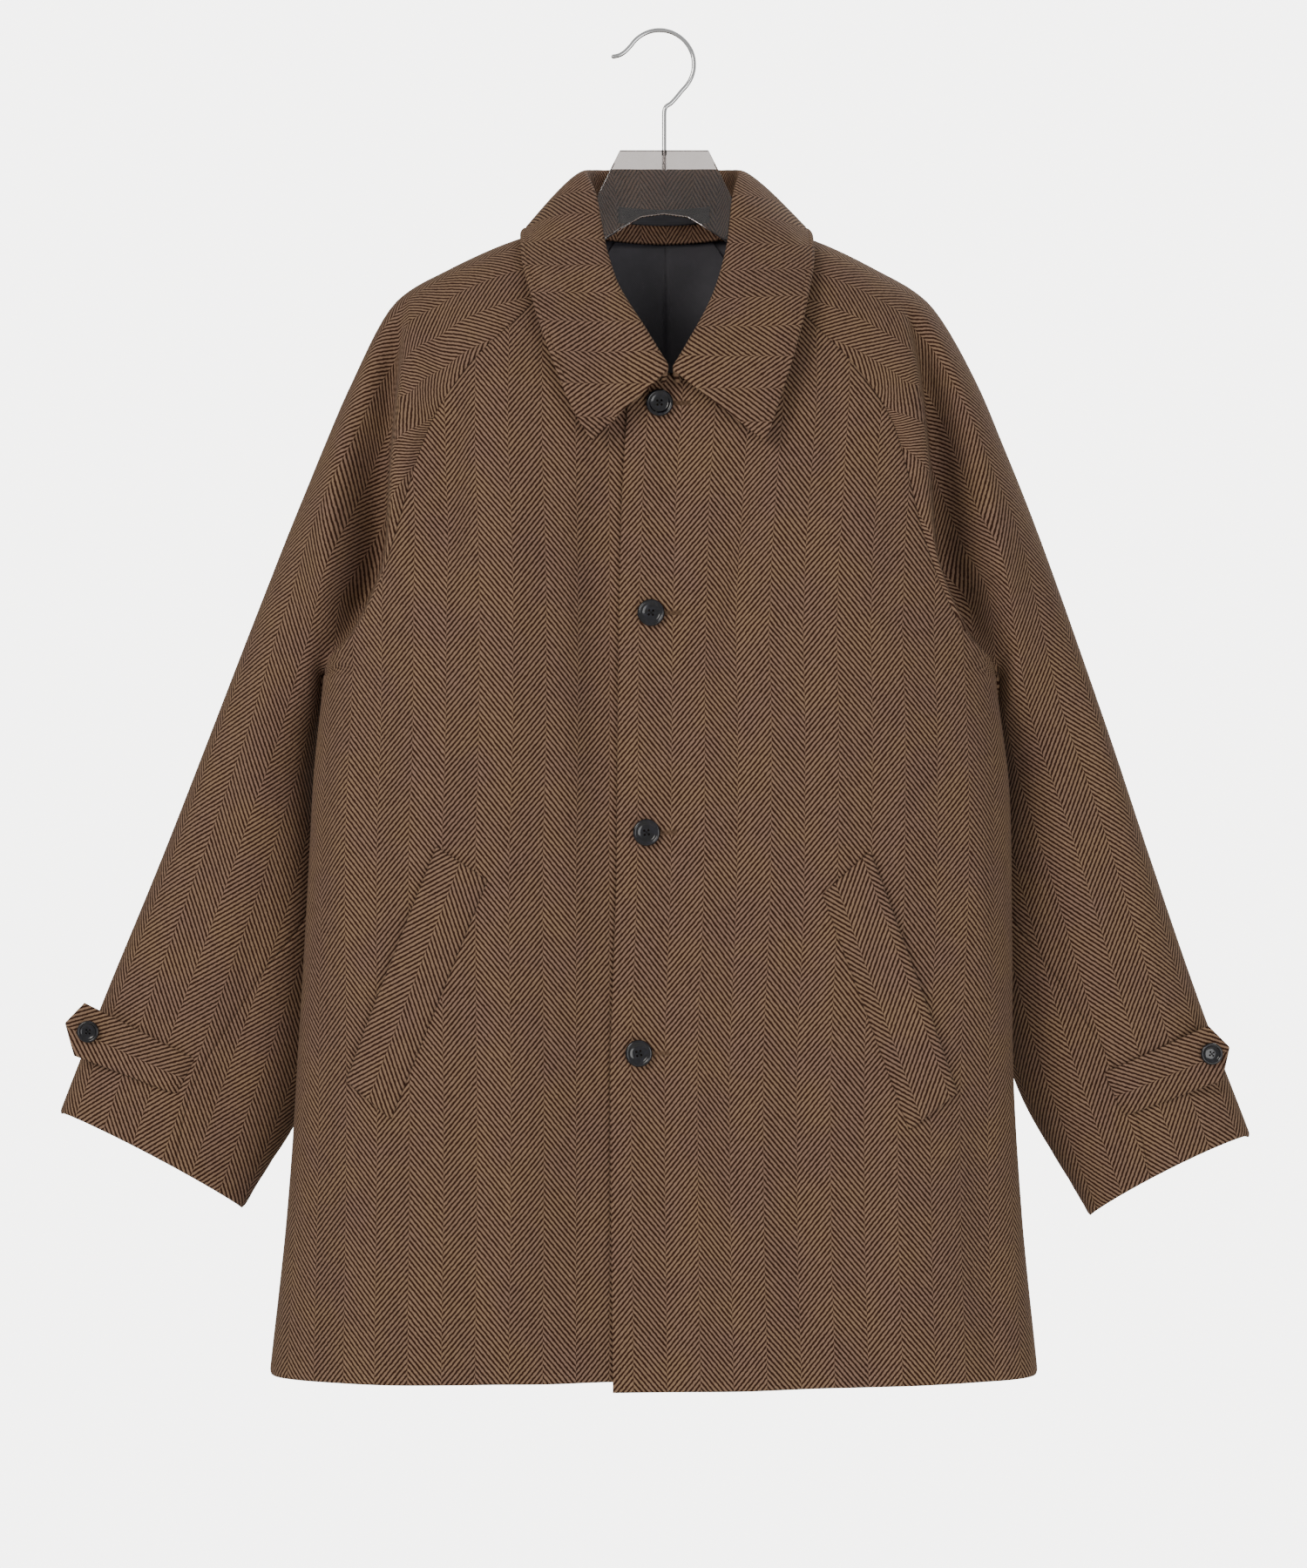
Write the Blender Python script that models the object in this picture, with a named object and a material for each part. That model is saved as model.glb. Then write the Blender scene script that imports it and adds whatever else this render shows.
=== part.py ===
"""A short herringbone coat with raglan sleeves and a turn-down collar, hanging on a clear hanger.

Metres, +Z up. The coat's front faces -Y. +X is the wearer's left, which is on the right of
someone who looks at the front. The origin is the top inside of the hanger's hook, where a
peg or a rail holds it.
"""

import math
from collections import namedtuple

import bmesh
import bpy
import numpy as np

# Cloth
WOOL = 0.0026
COLLAR = 0.0032
LINING = 0.0010
HALF_GAP = 0.0002
LAID_ON = 0.0007
LINING_GAP = 0.0012

# Body: one row for each level ring, from the hem up to the neck
Ring = namedtuple("Ring", "z half middle side_y front back")
BODY = (
    Ring(z=-1.0255, half=0.2930, middle=-0.0045, side_y=-0.010, front=0.0900, back=0.080),
    Ring(z=-0.900, half=0.2800, middle=-0.0040, side_y=-0.010, front=0.0890, back=0.079),
    Ring(z=-0.800, half=0.2735, middle=-0.0035, side_y=-0.010, front=0.0880, back=0.078),
    Ring(z=-0.700, half=0.2700, middle=-0.0010, side_y=-0.010, front=0.0875, back=0.077),
    Ring(z=-0.585, half=0.2660, middle=0.0010, side_y=-0.010, front=0.0870, back=0.076),
    Ring(z=-0.495, half=0.2565, middle=0.0000, side_y=-0.010, front=0.0860, back=0.075),
    Ring(z=-0.400, half=0.2500, middle=0.0000, side_y=-0.009, front=0.0830, back=0.071),
    Ring(z=-0.300, half=0.2420, middle=0.0000, side_y=-0.006, front=0.0780, back=0.064),
    Ring(z=-0.240, half=0.2330, middle=0.0015, side_y=-0.003, front=0.0630, back=0.058),
    Ring(z=-0.200, half=0.2260, middle=0.0025, side_y=-0.001, front=0.0460, back=0.054),
    Ring(z=-0.150, half=0.2150, middle=0.0035, side_y=0.000, front=0.0200, back=0.051),
)
FRONT_POWER = 2.5
BACK_POWER = 2.2
HEM_Z = -1.0255
UNDERARM_Z = -0.495

# Front closing: where the upper front's edge runs, from its top to the hem
Edge = namedtuple("Edge", "z x")
FRONT_EDGE = (
    Edge(z=-0.284, x=-0.0235),
    Edge(z=-0.360, x=-0.0283),
    Edge(z=-0.485, x=-0.0313),
    Edge(z=-0.642, x=-0.0325),
    Edge(z=-0.795, x=-0.0370),
    Edge(z=-1.0255, x=-0.0350),
)
UNDER_EDGE_X = 0.020
UNDER_DEPTH = 0.0048
UNDER_EASE = 0.045
HEM_DIP = 0.0075
HEM_DIP_WIDTH = 0.26

# Neck opening of the fronts
NECK_MIDDLE = 0.0035
NECK_HALF = 0.0665
NECK_LOW = -0.284
NECK_HIGH = -0.172
FRONT_TOP = -0.178

# Soft folds that fall to the hem; a minus depth is a trough
Fold = namedtuple("Fold", "x width depth top_z")
FRONT_FOLDS = (
    Fold(x=-0.205, width=0.034, depth=0.0045, top_z=-0.66),
    Fold(x=-0.120, width=0.030, depth=-0.0035, top_z=-0.74),
    Fold(x=0.110, width=0.034, depth=-0.0040, top_z=-0.70),
    Fold(x=0.195, width=0.032, depth=0.0045, top_z=-0.64),
)
BACK_FOLDS = (
    Fold(x=-0.165, width=0.040, depth=0.0080, top_z=-0.58),
    Fold(x=-0.020, width=0.050, depth=-0.0080, top_z=-0.55),
    Fold(x=0.140, width=0.042, depth=0.0070, top_z=-0.60),
)

# Sleeves: one row for each cross-section. The crest is the outer edge. The seam is the raglan
# seam down to the underarm row, and below that the sleeve's inner edge. An arch is how far
# the cloth leaves the crest forwards or backwards before it turns. A lean is how far it
# follows the body's cloth from the raglan seam, or how far the inner edge slants outwards
# to tuck in behind the body.
Cut = namedtuple("Cut", "crest_x crest_z seam_x seam_z crest_y seam_y front back lean")
SLEEVE_LEFT = (
    Cut(0.0710, -0.147, 0.0730, -0.1780, 0.000, 0.000, 0.016, 0.020, 0.008),
    Cut(0.1155, -0.159, 0.1040, -0.2165, 0.000, 0.000, 0.034, 0.034, 0.014),
    Cut(0.1650, -0.182, 0.1495, -0.2653, 0.000, 0.000, 0.046, 0.042, 0.020),
    Cut(0.2040, -0.206, 0.1755, -0.3066, 0.000, 0.000, 0.050, 0.044, 0.024),
    Cut(0.2430, -0.269, 0.1970, -0.3854, 0.001, 0.000, 0.056, 0.046, 0.030),
    Cut(0.2640, -0.318, 0.2105, -0.4250, 0.003, 0.000, 0.058, 0.046, 0.028),
    Cut(0.2835, -0.365, 0.2300, -0.4620, 0.006, 0.000, 0.060, 0.046, 0.018),
    Cut(0.3010, -0.410, 0.2565, -0.4950, 0.010, 0.000, 0.062, 0.046, 0.000),
    Cut(0.3405, -0.520, 0.2590, -0.5750, 0.016, 0.032, 0.058, 0.044, 0.026),
    Cut(0.3790, -0.635, 0.2550, -0.6800, 0.020, 0.036, 0.056, 0.042, 0.026),
    Cut(0.4160, -0.743, 0.2700, -0.7900, 0.020, 0.034, 0.052, 0.040, 0.016),
    Cut(0.4560, -0.849, 0.3320, -0.9110, 0.018, 0.022, 0.044, 0.038, 0.000),
)
SLEEVE_RIGHT = (
    Cut(0.0630, -0.147, 0.0660, -0.1780, 0.000, 0.000, 0.016, 0.020, 0.008),
    Cut(0.1085, -0.159, 0.0990, -0.2165, 0.000, 0.000, 0.034, 0.034, 0.014),
    Cut(0.1610, -0.182, 0.1470, -0.2653, 0.000, 0.000, 0.046, 0.042, 0.020),
    Cut(0.2010, -0.206, 0.1720, -0.3066, 0.000, 0.000, 0.050, 0.044, 0.024),
    Cut(0.2360, -0.269, 0.1975, -0.3854, 0.001, 0.000, 0.056, 0.046, 0.030),
    Cut(0.2575, -0.318, 0.2105, -0.4250, 0.003, 0.000, 0.058, 0.046, 0.028),
    Cut(0.2770, -0.365, 0.2300, -0.4620, 0.006, 0.000, 0.060, 0.046, 0.018),
    Cut(0.2960, -0.410, 0.2565, -0.4950, 0.010, 0.000, 0.062, 0.046, 0.000),
    Cut(0.3390, -0.520, 0.2580, -0.5750, 0.016, 0.032, 0.058, 0.044, 0.026),
    Cut(0.3845, -0.635, 0.2530, -0.6800, 0.020, 0.036, 0.056, 0.042, 0.026),
    Cut(0.4290, -0.743, 0.2600, -0.7850, 0.020, 0.034, 0.052, 0.040, 0.020),
    Cut(0.4630, -0.831, 0.3215, -0.9055, 0.018, 0.022, 0.040, 0.034, 0.000),
)
UNDERARM_ROW = 7
CUFF_ROW = 11
CUFF_RISE = 0.007
BACK_NECK_RISE = 0.024
BACK_NECK_INSET = 0.019
BACK_NECK_ROWS = 3.0

# Hollows in a sleeve's front, where the cloth hangs straight down from the hanger's end and
# then swings out; a minus depth is a ridge
Hollow = namedtuple("Hollow", "side top_x top_z low_x low_z width depth")
SLEEVE_HOLLOWS = (
    Hollow(side=1, top_x=0.196, top_z=-0.230, low_x=0.240, low_z=-0.500, width=0.016, depth=0.015),
    Hollow(side=1, top_x=0.178, top_z=-0.215, low_x=0.206, low_z=-0.430, width=0.014, depth=-0.004),
    Hollow(side=1, top_x=0.262, top_z=-0.330, low_x=0.268, low_z=-0.560, width=0.020, depth=-0.005),
    Hollow(side=-1, top_x=-0.215, top_z=-0.330, low_x=-0.262, low_z=-0.560, width=0.018, depth=0.010),
    Hollow(side=-1, top_x=-0.285, top_z=-0.420, low_x=-0.320, low_z=-0.660, width=0.022, depth=-0.004),
)

# Sleeve seam on the front face: share of the way from the crest to the inner edge
Share = namedtuple("Share", "row share")
FRONT_SEAM = (
    Share(row=7.0, share=1.00),
    Share(row=8.3, share=1.00),
    Share(row=9.0, share=0.82),
    Share(row=9.6, share=0.63),
    Share(row=10.4, share=0.53),
    Share(row=11.0, share=0.60),
)

# Collar: one row for each section along the band, from the wearer's right front round the back
Band = namedtuple("Band", "seam roll edge")
COLLAR_BAND = (
    Band((0.0030, -0.070, -0.2790), (0.0050, -0.0950, -0.2715), (-0.0520, -0.0970, -0.3205)),
    Band((-0.0270, -0.062, -0.2640), (-0.0171, -0.0860, -0.2360), (-0.0645, -0.0930, -0.3000)),
    Band((-0.0440, -0.052, -0.2360), (-0.0330, -0.0650, -0.1965), (-0.0780, -0.0830, -0.2680)),
    Band((-0.0540, -0.038, -0.2000), (-0.0422, -0.0450, -0.1650), (-0.0940, -0.0640, -0.2220)),
    Band((-0.0570, -0.022, -0.1640), (-0.0500, -0.0170, -0.1250), (-0.1050, -0.0400, -0.1770)),
    Band((-0.0565, 0.008, -0.1460), (-0.0580, 0.0120, -0.1045), (-0.1065, 0.0080, -0.1530)),
    Band((-0.0380, 0.040, -0.1540), (-0.0410, 0.0440, -0.0990), (-0.0800, 0.0600, -0.1600)),
    Band((0.0035, 0.0405, -0.1570), (0.0035, 0.0520, -0.0975), (0.0035, 0.0770, -0.1680)),
    Band((0.0450, 0.040, -0.1540), (0.0480, 0.0440, -0.0990), (0.0880, 0.0600, -0.1600)),
    Band((0.0635, 0.008, -0.1460), (0.0630, 0.0120, -0.1045), (0.1165, 0.0080, -0.1530)),
    Band((0.0640, -0.022, -0.1640), (0.0575, -0.0170, -0.1250), (0.1173, -0.0400, -0.1770)),
    Band((0.0610, -0.038, -0.2000), (0.0525, -0.0450, -0.1640), (0.1110, -0.0640, -0.2160)),
    Band((0.0510, -0.052, -0.2360), (0.0413, -0.0650, -0.2050), (0.1000, -0.0830, -0.2580)),
    Band((0.0340, -0.062, -0.2640), (0.0252, -0.0860, -0.2420), (0.0900, -0.0930, -0.2900)),
    Band((0.0110, -0.070, -0.2790), (0.0090, -0.0950, -0.2715), (0.0790, -0.0970, -0.3228)),
)
NECK_CENTRE_Y = -0.010
ROLL_HANDLE = 0.010
LEAF_BOW = 0.005
LEAF_CLEAR = 0.0012

# Pocket welts, corner by corner: x and z of the upper outer, upper inner, lower inner, lower outer
Welt = namedtuple("Welt", "upper_outer upper_inner lower_inner lower_outer")
WELT_LEFT = Welt((0.1567, -0.6266), (0.1211, -0.6592), (0.1857, -0.8352), (0.2222, -0.8085))
WELT_RIGHT = Welt((-0.1664, -0.6236), (-0.1283, -0.6487), (-0.2003, -0.8274), (-0.2342, -0.8000))
WELT_THICK = 0.0030

# Sleeve tabs: x and z of the base's two corners and of the tip's two shoulders, then the point
Tab = namedtuple("Tab", "base_top base_low end_top end_low point")
TAB_LEFT = Tab((0.3400, -0.7977), (0.3546, -0.8310), (0.4193, -0.7617), (0.4300, -0.8037), 0.012)
TAB_RIGHT = Tab((-0.3554, -0.7870), (-0.3694, -0.8143), (-0.4400, -0.7443), (-0.4480, -0.7850), 0.012)
TAB_THICK = 0.0030
TAB_FOLLOWS = 0.55

# Buttons: x and z of each centre
FRONT_BUTTONS = ((-0.0002, -0.2918), (-0.0066, -0.4486), (-0.0099, -0.6133), (-0.0157, -0.7786))
FRONT_BUTTON_WIDTH = 0.0205
TAB_BUTTON_WIDTH = 0.0170
TAB_BUTTON_LEFT = (0.4213, -0.7830)
TAB_BUTTON_RIGHT = (-0.4367, -0.7663)
BUTTON_RISE = 0.0042

# Neck label on the collar stand
LABEL_WIDTH = 0.070
LABEL_HEIGHT = 0.0125
LABEL_THICK = 0.0010
LABEL_LIFT = 0.0140

# Hanger: half of the plate's outline, as the upper and the lower edge at each distance out
Arm = namedtuple("Arm", "out top low")
HANGER_ARM = (
    Arm(out=0.000, top=-0.0908, low=-0.1396),
    Arm(out=0.018, top=-0.0908, low=-0.1420),
    Arm(out=0.034, top=-0.0908, low=-0.1515),
    Arm(out=0.047, top=-0.1170, low=-0.1600),
    Arm(out=0.0525, top=-0.1280, low=-0.1630),
    Arm(out=0.0555, top=-0.1495, low=-0.1645),
    Arm(out=0.067, top=-0.1509, low=-0.1700),
    Arm(out=0.112, top=-0.1629, low=-0.1880),
    Arm(out=0.150, top=-0.1801, low=-0.2050),
    Arm(out=0.182, top=-0.1980, low=-0.2190),
)
HANGER_MIDDLE = 0.0035
HANGER_THICK = 0.0070
HOOK_WIRE = 0.0034
HOOK_RADIUS = 0.0263
HOOK_BORE = 0.0040
SHANK_LOW = -0.1050
SHANK_TOP = -0.0600
HOOK_FLICK = ((-0.0278, -0.0158), (-0.0318, -0.0178), (-0.0355, -0.0186))

# Mesh fineness
BODY_ROWS = 13
RAGLAN_ROWS = 11
SLEEVE_ROWS = 11
FRONT_COLUMNS = 12
BACK_COLUMNS = 20
SLEEVE_COLUMNS = 8
BAND_ROWS = 11
BAND_COLUMNS = 36


def column(table, name):
    """One named column of a table as an array."""
    return np.array([getattr(row, name) for row in table], dtype=float)


def smooth(knots, values, at):
    """A curve through the knots that never swings past its neighbours."""
    knots = np.asarray(knots, dtype=float)
    values = np.asarray(values, dtype=float)
    order = np.argsort(knots)
    knots = knots[order]
    values = values[order]
    step = np.diff(knots)
    slope = np.diff(values) / step
    tangent = np.zeros_like(values)
    tangent[0] = slope[0]
    tangent[-1] = slope[-1]
    same = slope[:-1] * slope[1:] > 0
    both = slope[:-1] + slope[1:]
    tangent[1:-1] = np.where(same, 2 * slope[:-1] * slope[1:] / np.where(same, both, 1.0), 0.0)
    at = np.clip(np.asarray(at, dtype=float), knots[0], knots[-1])
    i = np.clip(np.searchsorted(knots, at) - 1, 0, len(step) - 1)
    t = (at - knots[i]) / step[i]
    rise = t * t * (3 - 2 * t)
    curve = values[i] * (1 - rise) + values[i + 1] * rise
    curve += step[i] * tangent[i] * t * (1 - t) ** 2
    return curve - step[i] * tangent[i + 1] * t * t * (1 - t)


def ease(value):
    """From 0 to 1 with a soft start and a soft end."""
    t = np.clip(value, 0.0, 1.0)
    return t * t * (3 - 2 * t)


def unit(vectors):
    """The same directions, one metre long."""
    return vectors / np.maximum(np.linalg.norm(vectors, axis=-1, keepdims=True), 1e-12)


def body(name, z):
    """A size of the body ring at height z."""
    return smooth(column(BODY, "z"), column(BODY, name), z)


def fall(folds, x, z):
    """How far the folds push the cloth out at x, z."""
    total = np.zeros(np.broadcast(x, z).shape)
    for fold in folds:
        strength = ease((fold.top_z - z) / (fold.top_z - HEM_Z))
        total = total + fold.depth * strength * np.exp(-((x - fold.x) / fold.width) ** 2)
    return total


def arch(x, z, power):
    """Share of the ring's depth that is left at x: 1 in the middle, 0 at the side."""
    share = np.clip(np.abs(x - body("middle", z)) / body("half", z), 0.0, 1.0)
    return (1 - share ** power) ** (1 / power)


def front_y(x, z):
    """Depth of the front's outer face."""
    return body("side_y", z) - body("front", z) * arch(x, z, FRONT_POWER) - fall(FRONT_FOLDS, x, z)


def back_y(x, z):
    """Depth of the back's outer face."""
    return body("side_y", z) + body("back", z) * arch(x, z, BACK_POWER) + fall(BACK_FOLDS, x, z)


def level_curve(z, start, stop, face_y, power, count=121):
    """Points of a level curve between two x values, close together where it turns at the side."""
    middle = body("middle", z)
    half = body("half", z)
    ends = np.clip((np.array([start, stop]) - middle) / half, -1.0, 1.0)
    turn = np.arcsin(np.sign(ends) * np.abs(ends) ** (power / 2))
    angle = np.linspace(turn[0], turn[1], count)
    x = middle + half * np.sign(angle) * np.abs(np.sin(angle)) ** (2 / power)
    return np.stack([x, face_y(x, z), np.full(count, z)], axis=1)


def resample(line, count, trim_start=0.0, trim_end=0.0):
    """Evenly spaced points along a line, and the line's direction at each."""
    step = np.linalg.norm(np.diff(line, axis=0), axis=1)
    run = np.concatenate([[0.0], np.cumsum(step)])
    at = np.linspace(trim_start, run[-1] - trim_end, count)
    points = np.stack([np.interp(at, run, line[:, i]) for i in range(3)], axis=1)
    near = np.gradient(line, axis=0)
    direction = np.stack([np.interp(at, run, near[:, i]) for i in range(3)], axis=1)
    return points, unit(direction)


def grid_of(lines, count, trim_start=0.0, trim_end=0.0):
    """Rows of evenly spaced points, with the direction along each row."""
    rows = [resample(line, count, trim_start, trim_end) for line in lines]
    return np.array([row[0] for row in rows]), np.array([row[1] for row in rows])


def outward(points, along, inside):
    """Unit normals of a grid that point away from the inside points."""
    normals = unit(np.cross(along, np.gradient(points, axis=0)))
    if np.sum(normals * (points - inside)) < 0:
        normals = -normals
    return normals


def front_panel(side):
    """Outer grid of one front, hem to neck, from its front edge to its side and raglan seam."""
    lines = []
    for z in panel_levels():
        if z > NECK_LOW + 1e-6:
            drop = (z - NECK_HIGH) / (NECK_LOW - NECK_HIGH)
            start = NECK_MIDDLE + side * NECK_HALF * math.sqrt(max(0.0, 1 - drop * drop))
        elif side > 0:
            start = float(smooth(column(FRONT_EDGE, "z"), column(FRONT_EDGE, "x"), z))
        else:
            start = UNDER_EDGE_X
        stop = side * raglan_x(side, z) if z > UNDERARM_Z else body("middle", z) + side * body("half", z)
        lines.append(level_curve(z, start, stop, front_y, FRONT_POWER))
    points, along = grid_of(lines, FRONT_COLUMNS + 1, 0.0, HALF_GAP)
    points = closing(side, points)
    inside = points * np.array([0.0, 0.0, 1.0])
    return points, outward(points, along, inside)


def closing(side, points):
    """The lower front steps back where the upper one covers it; the upper one's hem dips there."""
    points = points.copy()
    x = points[..., 0]
    z = points[..., 2]
    edge = smooth(column(FRONT_EDGE, "z"), column(FRONT_EDGE, "x"), z)
    if side > 0:
        low = ease((UNDERARM_Z - z) / (UNDERARM_Z - HEM_Z))
        points[..., 2] -= HEM_DIP * low * (1 - ease((x - edge) / HEM_DIP_WIDTH))
    else:
        points[..., 1] += UNDER_DEPTH * ease((x - edge + UNDER_EASE) / (UNDER_EASE - 0.006))
    return points


def sleeve_table(side):
    """The table of one sleeve's sections."""
    return SLEEVE_LEFT if side > 0 else SLEEVE_RIGHT


def cut(side, name, row):
    """A size of the sleeve's section at a row that need not be whole."""
    table = sleeve_table(side)
    return smooth(np.arange(len(table)), column(table, name), row)


def raglan_row(side, z):
    """The sleeve row whose raglan seam is at height z."""
    rows = np.linspace(0, UNDERARM_ROW, 400)
    return float(np.interp(-z, -cut(side, "seam_z", rows), rows))


def raglan_x(side, z):
    """Distance of the raglan seam from the middle plane at height z."""
    return float(cut(side, "seam_x", raglan_row(side, z)))


def raglan_levels():
    """Heights of the rows between the underarm and the front's top."""
    lower = UNDERARM_Z + (NECK_LOW - UNDERARM_Z) * np.linspace(0, 1, RAGLAN_ROWS - 4) ** 1.4
    upper = NECK_LOW + (FRONT_TOP - NECK_LOW) * np.linspace(0, 1, 6) ** 2
    return np.concatenate([lower, upper[1:]])


def panel_levels():
    """Heights of a front's rows, hem first."""
    lower = np.linspace(HEM_Z, UNDERARM_Z, BODY_ROWS)
    return np.concatenate([lower[:-1], raglan_levels()])


def seam_point(side, row, face):
    """A point of the raglan seam on the front or the back face."""
    x = float(cut(side, "seam_x", row))
    z = float(cut(side, "seam_z", row))
    if face == "back":
        rise = max(0.0, 1 - row / BACK_NECK_ROWS) ** 2
        x -= BACK_NECK_INSET * rise
        z += BACK_NECK_RISE * rise
    y = front_y(side * x, z) if face == "front" else back_y(side * x, z)
    return np.array([side * x, float(y), z])


def bezier(a, b, c, d, count=61):
    """Points of a cubic curve from a to d."""
    t = np.linspace(0, 1, count)[:, None]
    return a * (1 - t) ** 3 + 3 * b * t * (1 - t) ** 2 + 3 * c * t * t * (1 - t) + d * t ** 3


def plain_section(side, row, face):
    """One half of a sleeve section, from the crest to the seam or inner edge."""
    row = min(max(row, 0.0), CUFF_ROW)
    forward = np.array([0.0, -1.0 if face == "front" else 1.0, 0.0])
    crest = np.array([side * cut(side, "crest_x", row), cut(side, "crest_y", row), cut(side, "crest_z", row)])
    reach = float(cut(side, face, row))
    lean = float(cut(side, "lean", row))
    if row <= UNDERARM_ROW:
        seam = seam_point(side, row, face)
        face_y = front_y if face == "front" else back_y
        probe = 0.002
        inner_x = seam[0] - side * probe
        toward = unit(np.array([-side * probe, float(face_y(inner_x, seam[2])) - seam[1], 0.0]))
        arrive = -toward * lean
    else:
        seam = np.array([side * cut(side, "seam_x", row), cut(side, "seam_y", row), cut(side, "seam_z", row)])
        start = np.array([0.0, float(body("side_y", UNDERARM_Z)), 0.0])
        seam[1] = seam[1] + (start[1] - seam[1]) * (1 - ease(row - UNDERARM_ROW))
        away = np.array([side * lean if face == "front" else 0.0, 0.0, 0.0])
        arrive = forward * max(reach - 1.2 * abs(away[0]), 0.010) * ease((row - UNDERARM_ROW) / 1.5) + away
    return bezier(crest, crest + forward * reach, seam + arrive, seam)


def half_section(side, row, face):
    """A plain half section, softened across the underarm, with its hollows and its raised cuff."""
    line = plain_section(side, row, face)
    t = np.linspace(0, 1, len(line))
    soft = math.exp(-((row - UNDERARM_ROW) / 1.3) ** 2) * ease((1 - t) / 0.4)[:, None]
    near = [plain_section(side, row + step, face) for step in (-0.9, -0.6, -0.3, 0.3, 0.6, 0.9)]
    line = line * (1 - soft) + sum(near) / len(near) * soft
    if face == "front":
        line[:, 1] += hollow_depth(side, line[:, 0], line[:, 2]) * ease((1 - t) / 0.25) * ease(t / 0.15)
        line[:, 2] += CUFF_RISE * ease((row - CUFF_ROW + 1.5) / 1.5) * np.sin(math.pi * t)
    return line


def hollow_depth(side, x, z):
    """How far the sleeve's hollows push its front back at x, z."""
    total = np.zeros_like(x)
    for hollow in SLEEVE_HOLLOWS:
        if hollow.side != side:
            continue
        down = np.clip((hollow.top_z - z) / (hollow.top_z - hollow.low_z), 0.0, 1.0)
        middle = hollow.top_x + (hollow.low_x - hollow.top_x) * down
        total += hollow.depth * np.sin(math.pi * down) * np.exp(-((x - middle) / hollow.width) ** 2)
    return total


def sleeve_rows(side):
    """The sleeve rows that the mesh uses: the raglan ones match the front's levels."""
    upper = [raglan_row(side, z) for z in raglan_levels()[::-1]]
    lower = np.linspace(UNDERARM_ROW, CUFF_ROW, SLEEVE_ROWS)[1:]
    return np.concatenate([upper, lower])


def sleeve_lines(side, row):
    """The front piece's and the back piece's line at one row, each starting on the crest."""
    front = half_section(side, row, "front")
    back = half_section(side, row, "back")
    share = float(smooth(column(FRONT_SEAM, "row"), column(FRONT_SEAM, "share"), row))
    if row <= UNDERARM_ROW or share > 0.999:
        return front, back
    keep = int(round(share * (len(front) - 1)))
    return front[:keep + 1], np.concatenate([back, front[keep:-1][::-1]])


def sleeve_grids(side):
    """Outer grids and normals of a sleeve's front piece and back piece."""
    lines = [sleeve_lines(side, row) for row in sleeve_rows(side)]
    middles = np.array([(front.mean(axis=0) + back.mean(axis=0)) / 2 for front, back in lines])
    inside = middles[:, None, :]
    pieces = []
    for part in (0, 1):
        count = SLEEVE_COLUMNS + 1 + 2 * part
        points, along = grid_of([pair[part] for pair in lines], count, HALF_GAP, HALF_GAP)
        pieces.append((points, outward(points, along, inside)))
    (_, front), (_, back) = pieces
    meet(front[:, 0], back[:, 0])
    meet(front[RAGLAN_ROWS:, -1], back[RAGLAN_ROWS:, -1])
    return pieces


def meet(normals, others):
    """Two edges that meet in a seam share one direction there, so their walls close like a mitre."""
    shared = unit(normals + others)
    normals[:] = shared
    others[:] = shared


def back_levels():
    """Heights of the back's rows, hem first."""
    lower = np.linspace(HEM_Z, UNDERARM_Z, BODY_ROWS)
    upper = [seam_point(1, row, "back")[2] for row in sleeve_rows(1)[:RAGLAN_ROWS + 1][::-1]]
    return np.concatenate([lower[:-1], upper])


def back_panel():
    """Outer grid of the back, from the wearer's left seam to the right one."""
    lines = []
    for z in back_levels():
        if z < UNDERARM_Z - 1e-6:
            ends = [body("middle", z) + side * body("half", z) for side in (1, -1)]
        else:
            ends = [back_seam_x(side, z) for side in (1, -1)]
        lines.append(level_curve(z, ends[0], ends[1], back_y, BACK_POWER))
    points, along = grid_of(lines, BACK_COLUMNS + 1, HALF_GAP, HALF_GAP)
    inside = points * np.array([0.0, 0.0, 1.0])
    return points, outward(points, along, inside)


def back_seam_x(side, z):
    """x of the back's raglan seam at height z."""
    rows = np.linspace(0, UNDERARM_ROW, 200)
    seam = np.array([seam_point(side, row, "back") for row in rows])
    return float(np.interp(-z, -seam[:, 2], seam[:, 0]))


def cloth():
    """Outer grids and normals of the panels and the sleeves, by name, with shared seams."""
    grids = {"front_left": front_panel(1), "front_right": front_panel(-1), "back": back_panel()}
    back = grids["back"][1]
    for side, who, edge in ((1, "left", 0), (-1, "right", -1)):
        front = grids[f"front_{who}"][1]
        sleeve_front, sleeve_back = sleeve_grids(side)
        meet(front[:BODY_ROWS - 1, -1], back[:BODY_ROWS - 1, edge])
        meet(front[BODY_ROWS:, -1], sleeve_front[1][RAGLAN_ROWS - 1::-1, -1])
        meet(back[BODY_ROWS:, edge], sleeve_back[1][RAGLAN_ROWS - 1::-1, -1])
        grids[f"sleeve_{who}_front"] = sleeve_front
        grids[f"sleeve_{who}_back"] = sleeve_back
    return grids


def lift_off(points, ground, ground_normals, clear):
    """Points moved out until each is clear of the cloth below it."""
    lifted = points.copy()
    flat = lifted.reshape(-1, 3)
    for i, point in enumerate(flat):
        nearest = np.argmin(np.sum((ground - point) ** 2, axis=1))
        height = np.dot(point - ground[nearest], ground_normals[nearest])
        if height < clear:
            flat[i] = point + ground_normals[nearest] * (clear - height)
    return lifted


def shoulder_ground(grids):
    """Points and normals of the cloth that the collar leaf lies over."""
    points = []
    normals = []
    for grid, normal in grids.values():
        near = (grid[..., 2] > -0.36) & (np.abs(grid[..., 0]) < 0.16)
        points.append(grid[near])
        normals.append(normal[near])
    return np.concatenate(points), np.concatenate(normals)


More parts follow.
